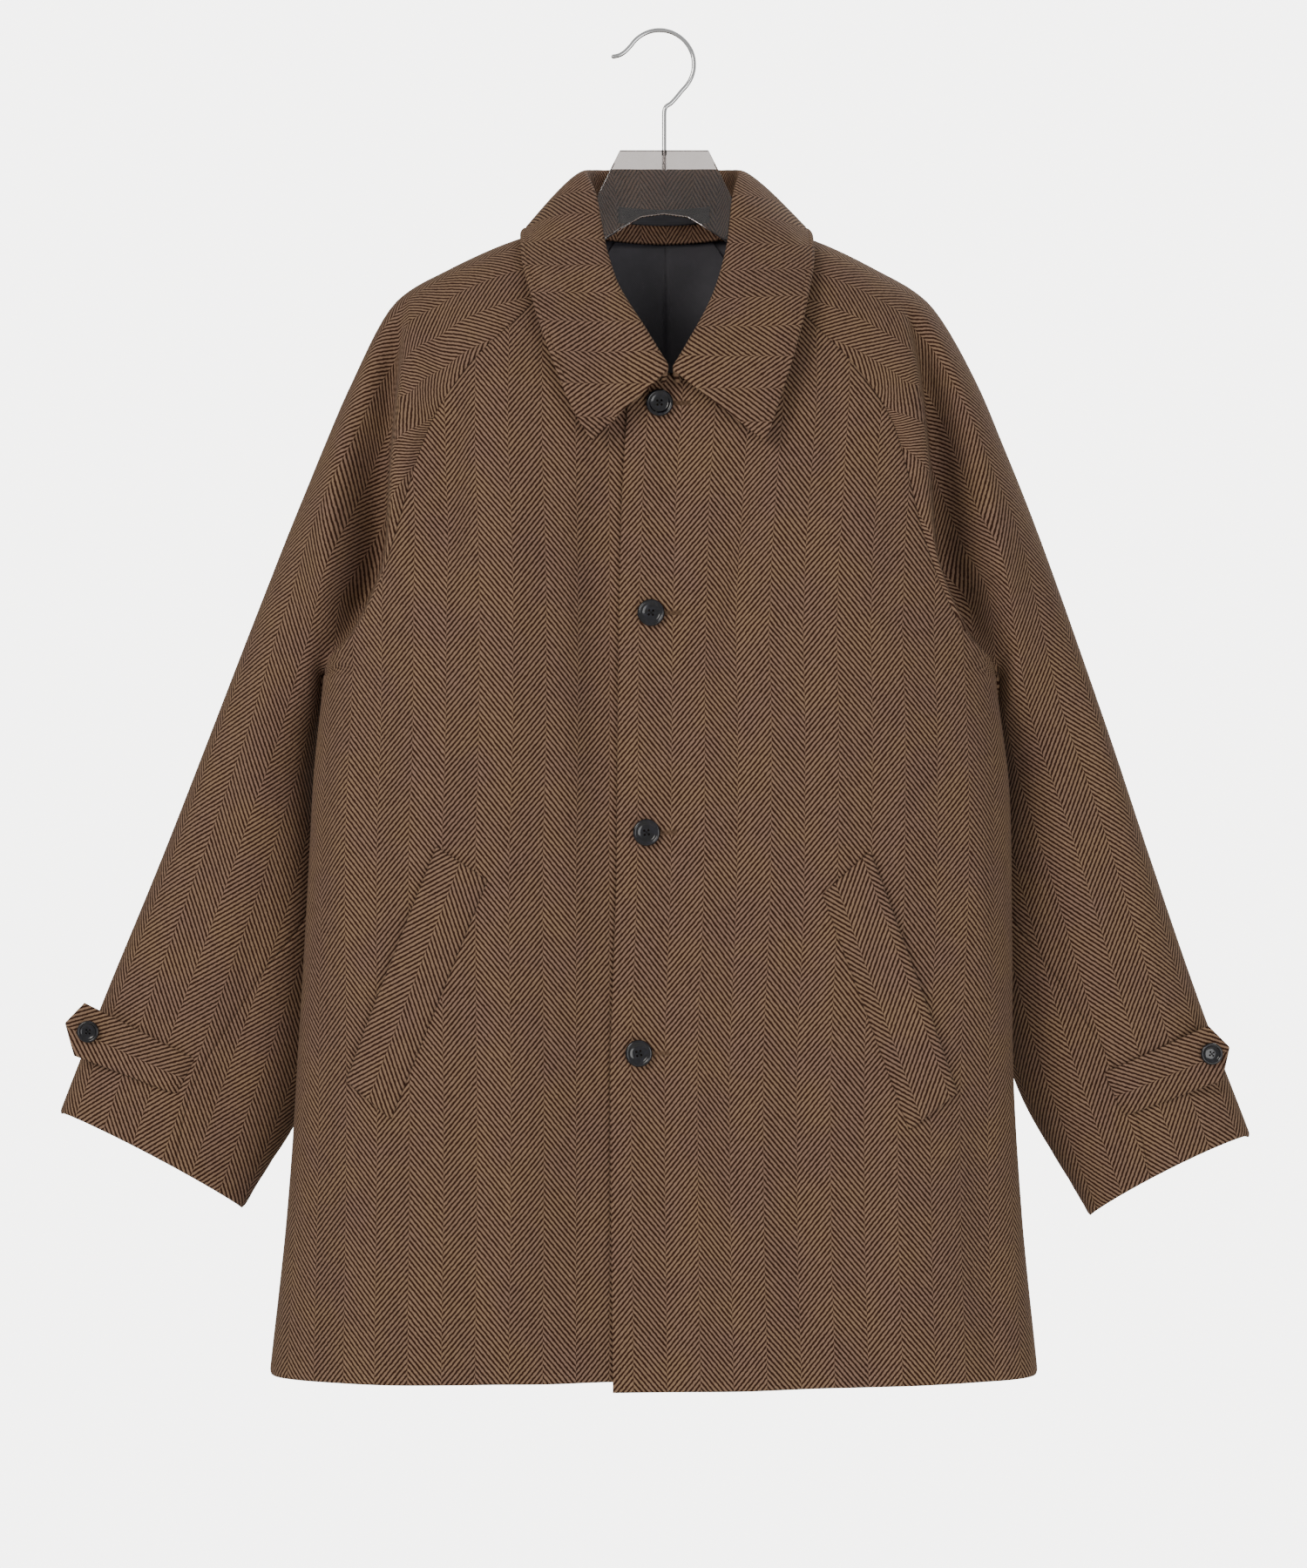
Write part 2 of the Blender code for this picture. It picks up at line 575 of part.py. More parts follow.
def collar_sections(count):
    """Sections of the collar band, each from the stand's seam over the roll to the leaf's edge."""
    at = np.linspace(0, len(COLLAR_BAND) - 1, count)
    marks = {}
    for name in Band._fields:
        table = np.array([getattr(row, name) for row in COLLAR_BAND])
        knots = np.arange(len(COLLAR_BAND))
        marks[name] = np.stack([smooth(knots, table[:, i], at) for i in range(3)], axis=1)
    sections = []
    for seam, roll, edge in zip(marks["seam"], marks["roll"], marks["edge"]):
        out = roll - np.array([NECK_MIDDLE, NECK_CENTRE_Y, roll[2]])
        out = unit(out)
        stand = bezier(seam, seam + (roll - seam) * 0.5, roll - out * ROLL_HANDLE * 0.6, roll, 31)
        bow = edge + (roll - edge) * 0.45 + out * LEAF_BOW
        leaf = bezier(roll, roll + out * ROLL_HANDLE, bow, edge, 61)
        sections.append(np.concatenate([stand[:-1], leaf]))
    return sections


def collar_grid(grids):
    """Outer grid of the collar: rows across the band, columns along it."""
    points, across = grid_of(collar_sections(BAND_COLUMNS + 1), BAND_ROWS + 1)
    ground, ground_normals = shoulder_ground(grids)
    leaf_from = BAND_ROWS // 2
    points[:, leaf_from:] = lift_off(points[:, leaf_from:], ground, ground_normals, COLLAR + LEAF_CLEAR)
    across = unit(np.gradient(points, axis=1))
    normals = unit(np.cross(across, np.gradient(points, axis=0)))
    middle_back = normals[BAND_COLUMNS // 2, -1]
    if middle_back[1] < 0:
        normals = -normals
    return points, normals


def clear_scene():
    """An empty file to build in."""
    for thing in list(bpy.data.objects):
        bpy.data.objects.remove(thing, do_unlink=True)


def paint(name, colour, roughness, metallic=0.0):
    """A plain material."""
    material = bpy.data.materials.new(name)
    material.use_nodes = True
    shader = material.node_tree.nodes["Principled BSDF"]
    shader.inputs["Base Color"].default_value = (*colour, 1.0)
    shader.inputs["Roughness"].default_value = roughness
    shader.inputs["Metallic"].default_value = metallic
    return material


def solid(name, points, faces, material):
    """A mesh object with its faces turned outwards."""
    mesh = bpy.data.meshes.new(name)
    mesh.from_pydata([tuple(map(float, p)) for p in points], [], faces)
    work = bmesh.new()
    work.from_mesh(mesh)
    bmesh.ops.recalc_face_normals(work, faces=work.faces)
    if work.calc_volume(signed=True) < 0:
        bmesh.ops.reverse_faces(work, faces=work.faces)
    work.to_mesh(mesh)
    work.free()
    mesh.materials.append(material)
    thing = bpy.data.objects.new(name, mesh)
    bpy.context.collection.objects.link(thing)
    return thing


def wall(name, outer, normals, thickness, material):
    """A closed wall: the outer grid, the same grid moved in, and the rim between them."""
    rows, columns = outer.shape[:2]
    inner = outer - normals * thickness
    index = np.arange(rows * columns).reshape(rows, columns)
    shift = rows * columns
    faces = []
    for i in range(rows - 1):
        for j in range(columns - 1):
            quad = [index[i, j], index[i, j + 1], index[i + 1, j + 1], index[i + 1, j]]
            faces.append([int(k) for k in quad])
            faces.append([int(k) + shift for k in reversed(quad)])
    rim = list(index[0, :-1]) + list(index[:-1, -1]) + list(index[-1, :0:-1]) + list(index[:0:-1, 0])
    for a, b in zip(rim, rim[1:] + rim[:1]):
        faces.append([int(b), int(a), int(a) + shift, int(b) + shift])
    points = np.concatenate([outer.reshape(-1, 3), inner.reshape(-1, 3)])
    return solid(name, points, faces, material)


def laid_on_front(name, corners, rows, columns, thickness, material):
    """A piece that lies on the front's face, between four corners given as x and z."""
    a, b, c, d = [np.array(corner) for corner in corners]
    u = np.linspace(0, 1, columns + 1)[None, :, None]
    v = np.linspace(0, 1, rows + 1)[:, None, None]
    flat = (a * (1 - u) + b * u) * (1 - v) + (d * (1 - u) + c * u) * v
    x = flat[..., 0]
    z = flat[..., 1]
    face = np.stack([x, front_y(x, z), z], axis=-1)
    slope = np.stack([np.full(x.shape, 1e-4), front_y(x + 1e-4, z) - face[..., 1], np.zeros(x.shape)], axis=-1)
    rise = np.stack([np.zeros(x.shape), front_y(x, z + 1e-4) - face[..., 1], np.full(x.shape, 1e-4)], axis=-1)
    normals = unit(np.cross(slope, rise))
    return wall(name, face + normals * (LAID_ON + thickness), normals, thickness, material)


def sleeve_face(side):
    """Many points of the lower sleeve's front face."""
    rows = np.linspace(9.5, CUFF_ROW, 61)
    return np.concatenate([half_section(side, row, "front") for row in rows])


def sleeve_tab(name, side, tab, material):
    """A pointed strap that lies on the sleeve and runs straight on past its edge."""
    face = sleeve_face(side)
    base_top, base_low, end_top, end_low = [np.array(corner) for corner in tab[:4]]
    rows, columns = 6, 10
    points = np.zeros((rows + 1, columns + 1, 3))
    for i, v in enumerate(np.linspace(0, 1, rows + 1)):
        start = base_top * (1 - v) + base_low * v
        end = end_top * (1 - v) + end_low * v
        run = unit(end - start)
        end = end + run * tab.point * (1 - abs(2 * v - 1))
        for j, u in enumerate(np.linspace(0, 1, columns + 1)):
            place = start * (1 - u) + end * u
            under = start * (1 - min(u, TAB_FOLLOWS)) + end * min(u, TAB_FOLLOWS)
            nearest = np.argmin((face[:, 0] - under[0]) ** 2 + (face[:, 2] - under[1]) ** 2)
            points[i, j] = (place[0], face[nearest, 1], place[1])
    depth = points[..., 1].mean(axis=0)
    depth = np.minimum(depth, points[..., 1].min(axis=0))
    points[..., 1] = depth[None, :] - LAID_ON - TAB_THICK
    normals = np.zeros_like(points)
    normals[..., 1] = -1.0
    wall(name, points, normals, TAB_THICK, material)
    return points


def button(name, x, y, z, width, material):
    """A turned button with a raised rim, its back at depth y, facing the front."""
    radius = width / 2
    profile = ((0.60, 0.0), (0.94, 0.25), (1.0, 0.55), (0.92, 0.95), (0.80, 1.0), (0.66, 0.78), (0.58, 0.66))
    spokes = 20
    points = []
    faces = []
    for share, rise in profile:
        for k in range(spokes):
            turn = 2 * math.pi * k / spokes
            reach = radius * share
            points.append((x + reach * math.cos(turn), y - BUTTON_RISE * rise, z + reach * math.sin(turn)))
    for i in range(len(profile) - 1):
        for k in range(spokes):
            a = i * spokes + k
            b = i * spokes + (k + 1) % spokes
            faces.append((a, b, b + spokes, a + spokes))
    faces.append(tuple(range(spokes)))
    last = (len(profile) - 1) * spokes
    faces.append(tuple(range(last + spokes - 1, last - 1, -1)))
    return solid(name, points, faces, material)


def hanger_plate(material):
    """The flat clear plate with its two arms, bored for the hook's shank."""
    right = [(HANGER_MIDDLE + arm.out, arm.top) for arm in HANGER_ARM]
    right += [(HANGER_MIDDLE + arm.out, arm.low) for arm in reversed(HANGER_ARM)]
    left = [(2 * HANGER_MIDDLE - x, z) for x, z in reversed(right)]
    outline = right + left[1:-1]
    count = len(outline)
    points = [(x, -HANGER_THICK / 2, z) for x, z in outline] + [(x, HANGER_THICK / 2, z) for x, z in outline]
    faces = [tuple(range(count)), tuple(range(2 * count - 1, count - 1, -1))]
    for i in range(count):
        j = (i + 1) % count
        faces.append((i, j, j + count, i + count))
    plate = solid("hanger_plate", points, faces, material)
    depth = HANGER_ARM[0].top - SHANK_LOW + 0.001
    bpy.ops.mesh.primitive_cylinder_add(vertices=20, radius=HOOK_BORE / 2, depth=2 * depth,
                                        location=(HANGER_MIDDLE, 0.0, HANGER_ARM[0].top))
    bore = bpy.context.object
    cutter = plate.modifiers.new("bore", "BOOLEAN")
    cutter.operation = "DIFFERENCE"
    cutter.solver = "EXACT"
    cutter.object = bore
    bpy.context.view_layer.objects.active = plate
    bpy.ops.object.modifier_apply(modifier="bore")
    bpy.data.objects.remove(bore, do_unlink=True)
    return plate


def hook_path():
    """The hook's centre line, as x and z, from the shank's foot to the tip."""
    centre = (0.0, HOOK_WIRE / 2 - HOOK_RADIUS)
    path = [(HANGER_MIDDLE, SHANK_LOW), (HANGER_MIDDLE, SHANK_TOP - 0.02), (HANGER_MIDDLE, SHANK_TOP)]
    path += [(HANGER_MIDDLE + 0.0012, SHANK_TOP + 0.0028), (HANGER_MIDDLE + 0.0050, SHANK_TOP + 0.0052)]
    for degrees in range(-46, 147, 12):
        turn = math.radians(degrees)
        path.append((centre[0] + HOOK_RADIUS * math.cos(turn), centre[1] + HOOK_RADIUS * math.sin(turn)))
    return path + list(HOOK_FLICK)


def hanger_hook(material):
    """The chrome wire, swept along its path in the middle plane."""
    path = np.array(hook_path())
    along = unit(np.gradient(path, axis=0))
    spokes = 10
    points = []
    faces = []
    for (x, z), (run_x, run_z) in zip(path, along):
        for k in range(spokes):
            turn = 2 * math.pi * k / spokes
            swing = HOOK_WIRE / 2 * math.cos(turn)
            points.append((x - run_z * swing, HOOK_WIRE / 2 * math.sin(turn), z + run_x * swing))
    for i in range(len(path) - 1):
        for k in range(spokes):
            a = i * spokes + k
            b = i * spokes + (k + 1) % spokes
            faces.append((a, b, b + spokes, a + spokes))
    faces.append(tuple(range(spokes)))
    last = (len(path) - 1) * spokes
    faces.append(tuple(range(last + spokes - 1, last - 1, -1)))
    return solid("hanger_hook", points, faces, material)


def neck_label(points, normals, material):
    """A plain strip on the neck side of the collar stand, at the middle of the back."""
    first = BAND_COLUMNS // 2 - 4
    last = BAND_COLUMNS // 2 + 5
    columns = []
    for x in np.linspace(-0.5, 0.5, 9) * LABEL_WIDTH + NECK_MIDDLE:
        at = np.interp(x, points[first:last, 0, 0], np.arange(first, last))
        i = int(at)
        blend = at - i
        line = points[i] * (1 - blend) + points[i + 1] * blend
        facing = normals[i] * (1 - blend) + normals[i + 1] * blend
        run = np.concatenate([[0.0], np.cumsum(np.linalg.norm(np.diff(line, axis=0), axis=1))])
        lifts = LABEL_LIFT + np.linspace(0, LABEL_HEIGHT, 4)
        strip = [[np.interp(lift, run, line[:, k]) for k in range(3)] for lift in lifts]
        turned = [[np.interp(lift, run, facing[:, k]) for k in range(3)] for lift in lifts]
        columns.append((np.array(strip), unit(np.array(turned))))
    grid = np.array([column[0] for column in columns])
    facing = np.array([column[1] for column in columns])
    return wall("neck_label", grid + facing * (LAID_ON + LABEL_THICK), facing, LABEL_THICK, material)


def build():
    """All the pieces, each a solid of its own."""
    clear_scene()
    wool = paint("herringbone wool", (0.135, 0.079, 0.048), 0.85)
    satin = paint("lining satin", (0.026, 0.025, 0.029), 0.45)
    ribbon = paint("label ribbon", (0.012, 0.013, 0.017), 0.60)
    horn = paint("button resin", (0.008, 0.009, 0.014), 0.25)
    clear = paint("clear acrylic", (0.80, 0.82, 0.83), 0.08)
    chrome = paint("chrome wire", (0.72, 0.73, 0.74), 0.12, 1.0)

    grids = cloth()
    for name, (points, normals) in grids.items():
        wall(name, points, normals, WOOL, wool)
    band, band_normals = collar_grid(grids)
    wall("collar", band, band_normals, COLLAR, wool)
    back, back_normals = grids["back"]
    inner = (back - back_normals * (WOOL + LINING_GAP))[1:, 2:-2]
    wall("back_lining", inner, back_normals[1:, 2:-2], LINING, satin)
    neck_label(band, band_normals, ribbon)
    laid_on_front("pocket_welt_left", WELT_LEFT, 10, 3, WELT_THICK, wool)
    laid_on_front("pocket_welt_right", WELT_RIGHT, 10, 3, WELT_THICK, wool)

    for number, (x, z) in enumerate(FRONT_BUTTONS, start=1):
        depth = min(float(front_y(x + reach, z)) for reach in (-0.01, 0.0, 0.01))
        button(f"button_{number}", x, depth - LAID_ON, z, FRONT_BUTTON_WIDTH, horn)
    for side, who, tab, spot in ((1, "left", TAB_LEFT, TAB_BUTTON_LEFT), (-1, "right", TAB_RIGHT, TAB_BUTTON_RIGHT)):
        strap = sleeve_tab(f"sleeve_tab_{who}", side, tab, wool)
        depth = float(strap[..., 1][:, -4:].min())
        button(f"tab_button_{who}", spot[0], depth - LAID_ON, spot[1], TAB_BUTTON_WIDTH, horn)

    hanger_plate(clear)
    hanger_hook(chrome)


build()
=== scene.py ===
# %% [markdown]
# # A herringbone coat on a clear hanger
#
# A CAD model gives this coat its true shape as plain solids. This lesson puts the cloth on them: each
# panel is made again as a thin, fine sheet on the same form, with its weave, seams, folds and buttons.
# Everything is in metres, +Z is up and the coat's front faces -Y. +X is the wearer's left.

import math
from collections import namedtuple

import bpy
import numpy as np
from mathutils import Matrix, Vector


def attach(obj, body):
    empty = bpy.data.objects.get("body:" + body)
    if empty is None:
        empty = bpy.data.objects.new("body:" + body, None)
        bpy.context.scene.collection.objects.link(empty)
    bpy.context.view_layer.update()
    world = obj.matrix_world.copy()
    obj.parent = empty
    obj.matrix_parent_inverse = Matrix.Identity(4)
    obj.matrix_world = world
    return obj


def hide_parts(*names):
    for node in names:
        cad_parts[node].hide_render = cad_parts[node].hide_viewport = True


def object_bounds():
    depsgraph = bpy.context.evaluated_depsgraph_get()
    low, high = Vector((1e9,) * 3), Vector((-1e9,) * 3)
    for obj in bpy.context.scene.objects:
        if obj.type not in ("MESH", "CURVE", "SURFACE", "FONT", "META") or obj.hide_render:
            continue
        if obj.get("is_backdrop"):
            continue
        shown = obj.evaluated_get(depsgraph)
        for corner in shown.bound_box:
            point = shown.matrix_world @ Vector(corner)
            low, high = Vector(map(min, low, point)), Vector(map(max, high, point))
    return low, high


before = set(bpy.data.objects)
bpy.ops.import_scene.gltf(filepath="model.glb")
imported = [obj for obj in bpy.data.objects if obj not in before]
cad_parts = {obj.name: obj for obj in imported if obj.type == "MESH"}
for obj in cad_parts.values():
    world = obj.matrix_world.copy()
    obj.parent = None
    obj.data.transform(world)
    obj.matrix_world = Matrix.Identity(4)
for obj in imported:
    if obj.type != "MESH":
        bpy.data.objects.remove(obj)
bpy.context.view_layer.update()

# %% [markdown]
# ## Curves through a few measured sizes
# A tailor drafts a coat from a few measures and joins them with smooth curves. The same idea works in
# code: a short table holds the measures, and `smooth` joins them without swinging past any of them.

# %% Curve helpers


def column(table, name):
    """One named column of a table."""
    return np.array([getattr(row, name) for row in table], dtype=float)


def smooth(knots, values, at):
    """A curve through the knots that never swings past its neighbours."""
    knots = np.asarray(knots, dtype=float)
    values = np.asarray(values, dtype=float)
    order = np.argsort(knots)
    knots, values = knots[order], values[order]
    step = np.diff(knots)
    slope = np.diff(values) / step
    tangent = np.zeros_like(values)
    tangent[0], tangent[-1] = slope[0], slope[-1]
    same = slope[:-1] * slope[1:] > 0
    both = np.where(same, slope[:-1] + slope[1:], 1.0)
    tangent[1:-1] = np.where(same, 2 * slope[:-1] * slope[1:] / both, 0.0)
    at = np.clip(np.asarray(at, dtype=float), knots[0], knots[-1])
    i = np.clip(np.searchsorted(knots, at) - 1, 0, len(step) - 1)
    t = (at - knots[i]) / step[i]
    rise = t * t * (3 - 2 * t)
    curve = values[i] * (1 - rise) + values[i + 1] * rise
    curve += step[i] * tangent[i] * t * (1 - t) ** 2
    return curve - step[i] * tangent[i + 1] * t * t * (1 - t)


def read_off(table, key, name, at):
    """One column of a table, as a smooth curve over another column."""
    return smooth(column(table, key), column(table, name), at)


def ease(value):
    """From 0 to 1 with a soft start and a soft end."""
    t = np.clip(value, 0.0, 1.0)
    return t * t * (3 - 2 * t)


def unit(vectors):
    """The same directions, one metre long."""
    return vectors / np.maximum(np.linalg.norm(vectors, axis=-1, keepdims=True), 1e-12)


def bezier(a, b, c, d, count=121):
    """Points of a cubic curve from a to d."""
    t = np.linspace(0, 1, count)[:, None]
    return a * (1 - t) ** 3 + 3 * b * t * (1 - t) ** 2 + 3 * c * t * t * (1 - t) + d * t ** 3


def run_of(line):
    """Distance along a line at each of its points."""
    return np.concatenate([[0.0], np.cumsum(np.linalg.norm(np.diff(line, axis=0), axis=1))])


def points_at(line, run, at):
    """Points of a line where its run has the values in at."""
    return np.stack([np.interp(at, run, values) for values in line.T], axis=1)


def evened(values, reach):
    """A moving average over reach values on each side."""
    count = 2 * reach + 1
    return np.convolve(np.pad(values, reach, mode="edge"), np.ones(count) / count, mode="valid")


print("smooth at 0.5:", round(float(smooth([0, 1, 2], [0, 1, 4], 0.5)), 3))

# %% [markdown]
# ## The body's rings
# The body of the coat is a tube that is wide from side to side and shallow from front to back. Each row
# of this table is one level ring of it. Below the arms the rings grow to the hem, and above them they
# shrink to the neck.

# %% Body sizes
Ring = namedtuple("Ring", "z half middle side_y front back")
BODY = (
    Ring(z=-1.0255, half=0.2930, middle=-0.0045, side_y=-0.010, front=0.0900, back=0.080),
    Ring(z=-0.900, half=0.2800, middle=-0.0040, side_y=-0.010, front=0.0890, back=0.079),
    Ring(z=-0.800, half=0.2735, middle=-0.0035, side_y=-0.010, front=0.0880, back=0.078),
    Ring(z=-0.700, half=0.2700, middle=-0.0010, side_y=-0.010, front=0.0875, back=0.077),
    Ring(z=-0.585, half=0.2660, middle=0.0010, side_y=-0.010, front=0.0870, back=0.076),
    Ring(z=-0.495, half=0.2565, middle=0.0000, side_y=-0.010, front=0.0860, back=0.075),
    Ring(z=-0.400, half=0.2500, middle=0.0000, side_y=-0.009, front=0.0830, back=0.071),
    Ring(z=-0.300, half=0.2420, middle=0.0000, side_y=-0.006, front=0.0780, back=0.064),
    Ring(z=-0.240, half=0.2330, middle=0.0015, side_y=-0.003, front=0.0630, back=0.058),
    Ring(z=-0.200, half=0.2260, middle=0.0025, side_y=-0.001, front=0.0460, back=0.054),
    Ring(z=-0.150, half=0.2150, middle=0.0035, side_y=0.000, front=0.0200, back=0.051),
)
FRONT_POWER = 3.0
BACK_POWER = 2.2
HEM_Z = -1.0255
UNDERARM_Z = -0.495


def body(name, z):
    """A size of the body ring at height z."""
    return read_off(BODY, "z", name, z)


print("hem is", round(2 * float(body("half", HEM_Z)), 3), "m wide")

# %% [markdown]
# ## Folds, placed by hand
# Wool this thick doesn't crease sharply: it falls in long soft troughs and ridges. A cloth simulation
# would place them by chance, so each one is laid down here as a stroke with a start, an end, a width
# and a depth, as a sculptor's thumb would. A minus depth is a trough.

# %% Fold tables
Fall = namedtuple("Fall", "x width depth top_z")
FRONT_FALLS = (
    Fall(x=-0.205, width=0.034, depth=0.0045, top_z=-0.66),
    Fall(x=-0.120, width=0.030, depth=-0.0035, top_z=-0.74),
    Fall(x=0.110, width=0.034, depth=-0.0040, top_z=-0.70),
    Fall(x=0.195, width=0.032, depth=0.0045, top_z=-0.64),
)
BACK_FALLS = (
    Fall(x=-0.165, width=0.040, depth=0.0080, top_z=-0.58),
    Fall(x=-0.020, width=0.050, depth=-0.0080, top_z=-0.55),
    Fall(x=0.140, width=0.042, depth=0.0070, top_z=-0.60),
)
Stroke = namedtuple("Stroke", "x z to_x to_z width depth")
FRONT_STROKES = (
    Stroke(-0.156, -0.225, -0.158, -0.470, 0.017, -0.0085),
    Stroke(-0.187, -0.260, -0.198, -0.480, 0.013, 0.0036),
    Stroke(-0.050, -0.290, -0.047, -0.680, 0.017, -0.0075),
    Stroke(-0.108, -0.280, -0.112, -0.620, 0.024, 0.0030),
    Stroke(-0.237, -0.490, -0.242, -0.740, 0.015, 0.0042),
    Stroke(-0.150, -0.760, -0.150, -0.980, 0.024, -0.0036),
    Stroke(-0.060, -0.660, -0.066, -1.080, 0.017, -0.0034),
    Stroke(-0.102, -0.640, -0.100, -1.080, 0.022, 0.0028),
    Stroke(0.068, -0.320, 0.014, -0.560, 0.014, -0.0066),
    Stroke(0.131, -0.240, 0.131, -0.380, 0.010, -0.0038),
    Stroke(0.150, -0.290, 0.164, -0.580, 0.022, 0.0032),
    Stroke(0.055, -0.620, 0.056, -1.080, 0.026, 0.0060),
    Stroke(0.112, -0.690, 0.122, -1.080, 0.020, -0.0034),
    Stroke(0.238, -0.520, 0.247, -0.780, 0.015, 0.0034),
    Stroke(0.234, -0.740, 0.248, -1.080, 0.018, -0.0038),
    Stroke(0.012, -0.452, 0.080, -0.474, 0.009, -0.0014),
    Stroke(0.008, -0.616, 0.074, -0.598, 0.009, -0.0014),
)
BACK_STROKES = (
    Stroke(-0.100, -0.200, -0.140, -0.600, 0.026, 0.0030),
    Stroke(0.105, -0.210, 0.150, -0.620, 0.026, 0.0030),
    Stroke(0.000, -0.230, 0.012, -0.640, 0.032, -0.0030),
    Stroke(-0.230, -0.490, -0.150, -0.740, 0.018, -0.0040),
    Stroke(0.230, -0.490, 0.155, -0.760, 0.018, -0.0040),
    Stroke(0.055, -0.600, 0.080, -1.060, 0.024, 0.0040),
    Stroke(-0.090, -0.640, -0.100, -1.060, 0.024, 0.0040),
    Stroke(0.215, -0.680, 0.225, -1.060, 0.022, -0.0040),
)


STEEP_SIDE = 0.7
STROKE_END = 0.4
SIDE_FADE = 0.5


def strokes(table, x, z):
    """How far the strokes push the cloth out at x, z."""
    total = np.zeros(np.broadcast(x, z).shape)
    for stroke in table:
        run_x, run_z = stroke.to_x - stroke.x, stroke.to_z - stroke.z
        length = math.hypot(run_x, run_z)
        along = ((x - stroke.x) * run_x + (z - stroke.z) * run_z) / length ** 2
        off = ((x - stroke.x) * run_z - (z - stroke.z) * run_x) / length
        near = np.where(off > 0, stroke.width, STEEP_SIDE * stroke.width)
        soft = ease(along / STROKE_END) * ease((1 - along) / STROKE_END)
        total = total + stroke.depth * soft * np.exp(-(off / near) ** 2)
    return total


def falls(table, x, z):
    """How far the folds that fall to the hem push the cloth out at x, z."""
    total = np.zeros(np.broadcast(x, z).shape)
    for fold in table:
        strength = ease((fold.top_z - z) / (fold.top_z - HEM_Z))
        total = total + fold.depth * strength * np.exp(-((x - fold.x) / fold.width) ** 2)
    return total


def arch(x, z, power):
    """Share of the ring's depth that is left at x: 1 in the middle, 0 at the side."""
    share = np.clip(np.abs(x - body("middle", z)) / body("half", z), 0.0, 1.0)
    return (1 - share ** power) ** (1 / power)


HOLLOW_X = -0.012
HOLLOW_WIDTH = 0.085
HOLLOW_DEPTH = 0.0200
HOLLOW_TOP = -0.265
HOLLOW_EASE = 0.12


def front_y(x, z):
    """Depth of the front's outer face. An empty coat sinks in down the middle, between its shoulders."""
    share = arch(x, z, FRONT_POWER)
    flat = body("side_y", z) - body("front", z) * share
    empty = HOLLOW_DEPTH * ease((HOLLOW_TOP - z) / HOLLOW_EASE) * np.exp(-((x - HOLLOW_X) / HOLLOW_WIDTH) ** 2)
    return flat + empty - falls(FRONT_FALLS, x, z) - strokes(FRONT_STROKES, x, z) * ease(share / SIDE_FADE)


def back_y(x, z):
    """Depth of the back's outer face."""
    share = arch(x, z, BACK_POWER)
    flat = body("side_y", z) + body("back", z) * share
    return flat + falls(BACK_FALLS, x, z) + strokes(BACK_STROKES, x, z) * ease(share / SIDE_FADE)


print("front at the second button:", round(float(front_y(0.0, -0.4486)), 4))

# %% [markdown]
# ## From level lines to a sheet
# A panel is a stack of level lines, each cut into the same number of points, so it makes a neat grid.
# The points stand closer together by the edges, because that is where sewn cloth rolls over into its
# seam. Distances from the edges are kept, since the rolls and the stitching need them.

# %% Lines and their points
EDGE_STEPS = np.array([0.0, 0.0006, 0.0014, 0.0026, 0.0042, 0.0050, 0.0056, 0.0062, 0.0072])
SHORT_LINE = 0.040
DENT_WIDTH = 0.0007


def level_line(z, start, stop, face_y, power, count=161):
    """Points of a level line between two x values, close together where it turns at the side."""
    middle, half = body("middle", z), body("half", z)
    ends = np.clip((np.array([start, stop]) - middle) / half, -1.0, 1.0)
    turn = np.arcsin(np.sign(ends) * np.abs(ends) ** (power / 2))
    angle = np.linspace(turn[0], turn[1], count)
    x = middle + half * np.sign(angle) * np.abs(np.sin(angle)) ** (2 / power)
    return np.stack([x, face_y(x, z), np.full(count, z)], axis=1)


def spread(length, count):
    """Places along a line, close together by both of its ends."""
    edge = EDGE_STEPS * min(1.0, length / SHORT_LINE)
    middle = np.linspace(edge[-1], length - edge[-1], count - 2 * len(edge) + 2)
    return np.concatenate([edge[:-1], middle, (length - edge[:-1])[::-1]])


def sheet_of(lines, count):
    """A grid of points on the lines, and how far each is from its line's start and end."""
    points, starts, ends = [], [], []
    for line in lines:
        run = run_of(line[:, :3])
        at = spread(run[-1], count)
        points.append(points_at(line, run, at))
        starts.append(at)
        ends.append(run[-1] - at)
    return np.array(points), np.array(starts), np.array(ends)


def normals_of(points, toward):
    """Unit normals of a grid, on the side of the directions in toward."""
    normals = unit(np.cross(np.gradient(points, axis=1), np.gradient(points, axis=0)))
    return normals if np.sum(normals * toward) > 0 else -normals


def rolled(distance, depth, reach=0.0036):
    """How far a sewn edge sinks at a distance from it."""
    return depth * np.clip(1 - distance / reach, 0.0, 1.0) ** 2


def stitch_dent(distance, at=0.0056, depth=0.00035):
    """The narrow dent that a row of edge stitching pulls into the cloth."""
    return depth * np.exp(-((distance - at) / DENT_WIDTH) ** 2)


print("a 0.3 m line is cut at:", np.round(spread(0.3, 24)[:9] * 1000, 1), "mm ...")

# %% [markdown]
# ## The two fronts
# The wearer's left front closes on top and carries the buttonholes. The right one runs on underneath it,
# a cloth's thickness further in. Both are cut away round the neck and along the slanted raglan seam,
# where the sleeve runs up to the collar.

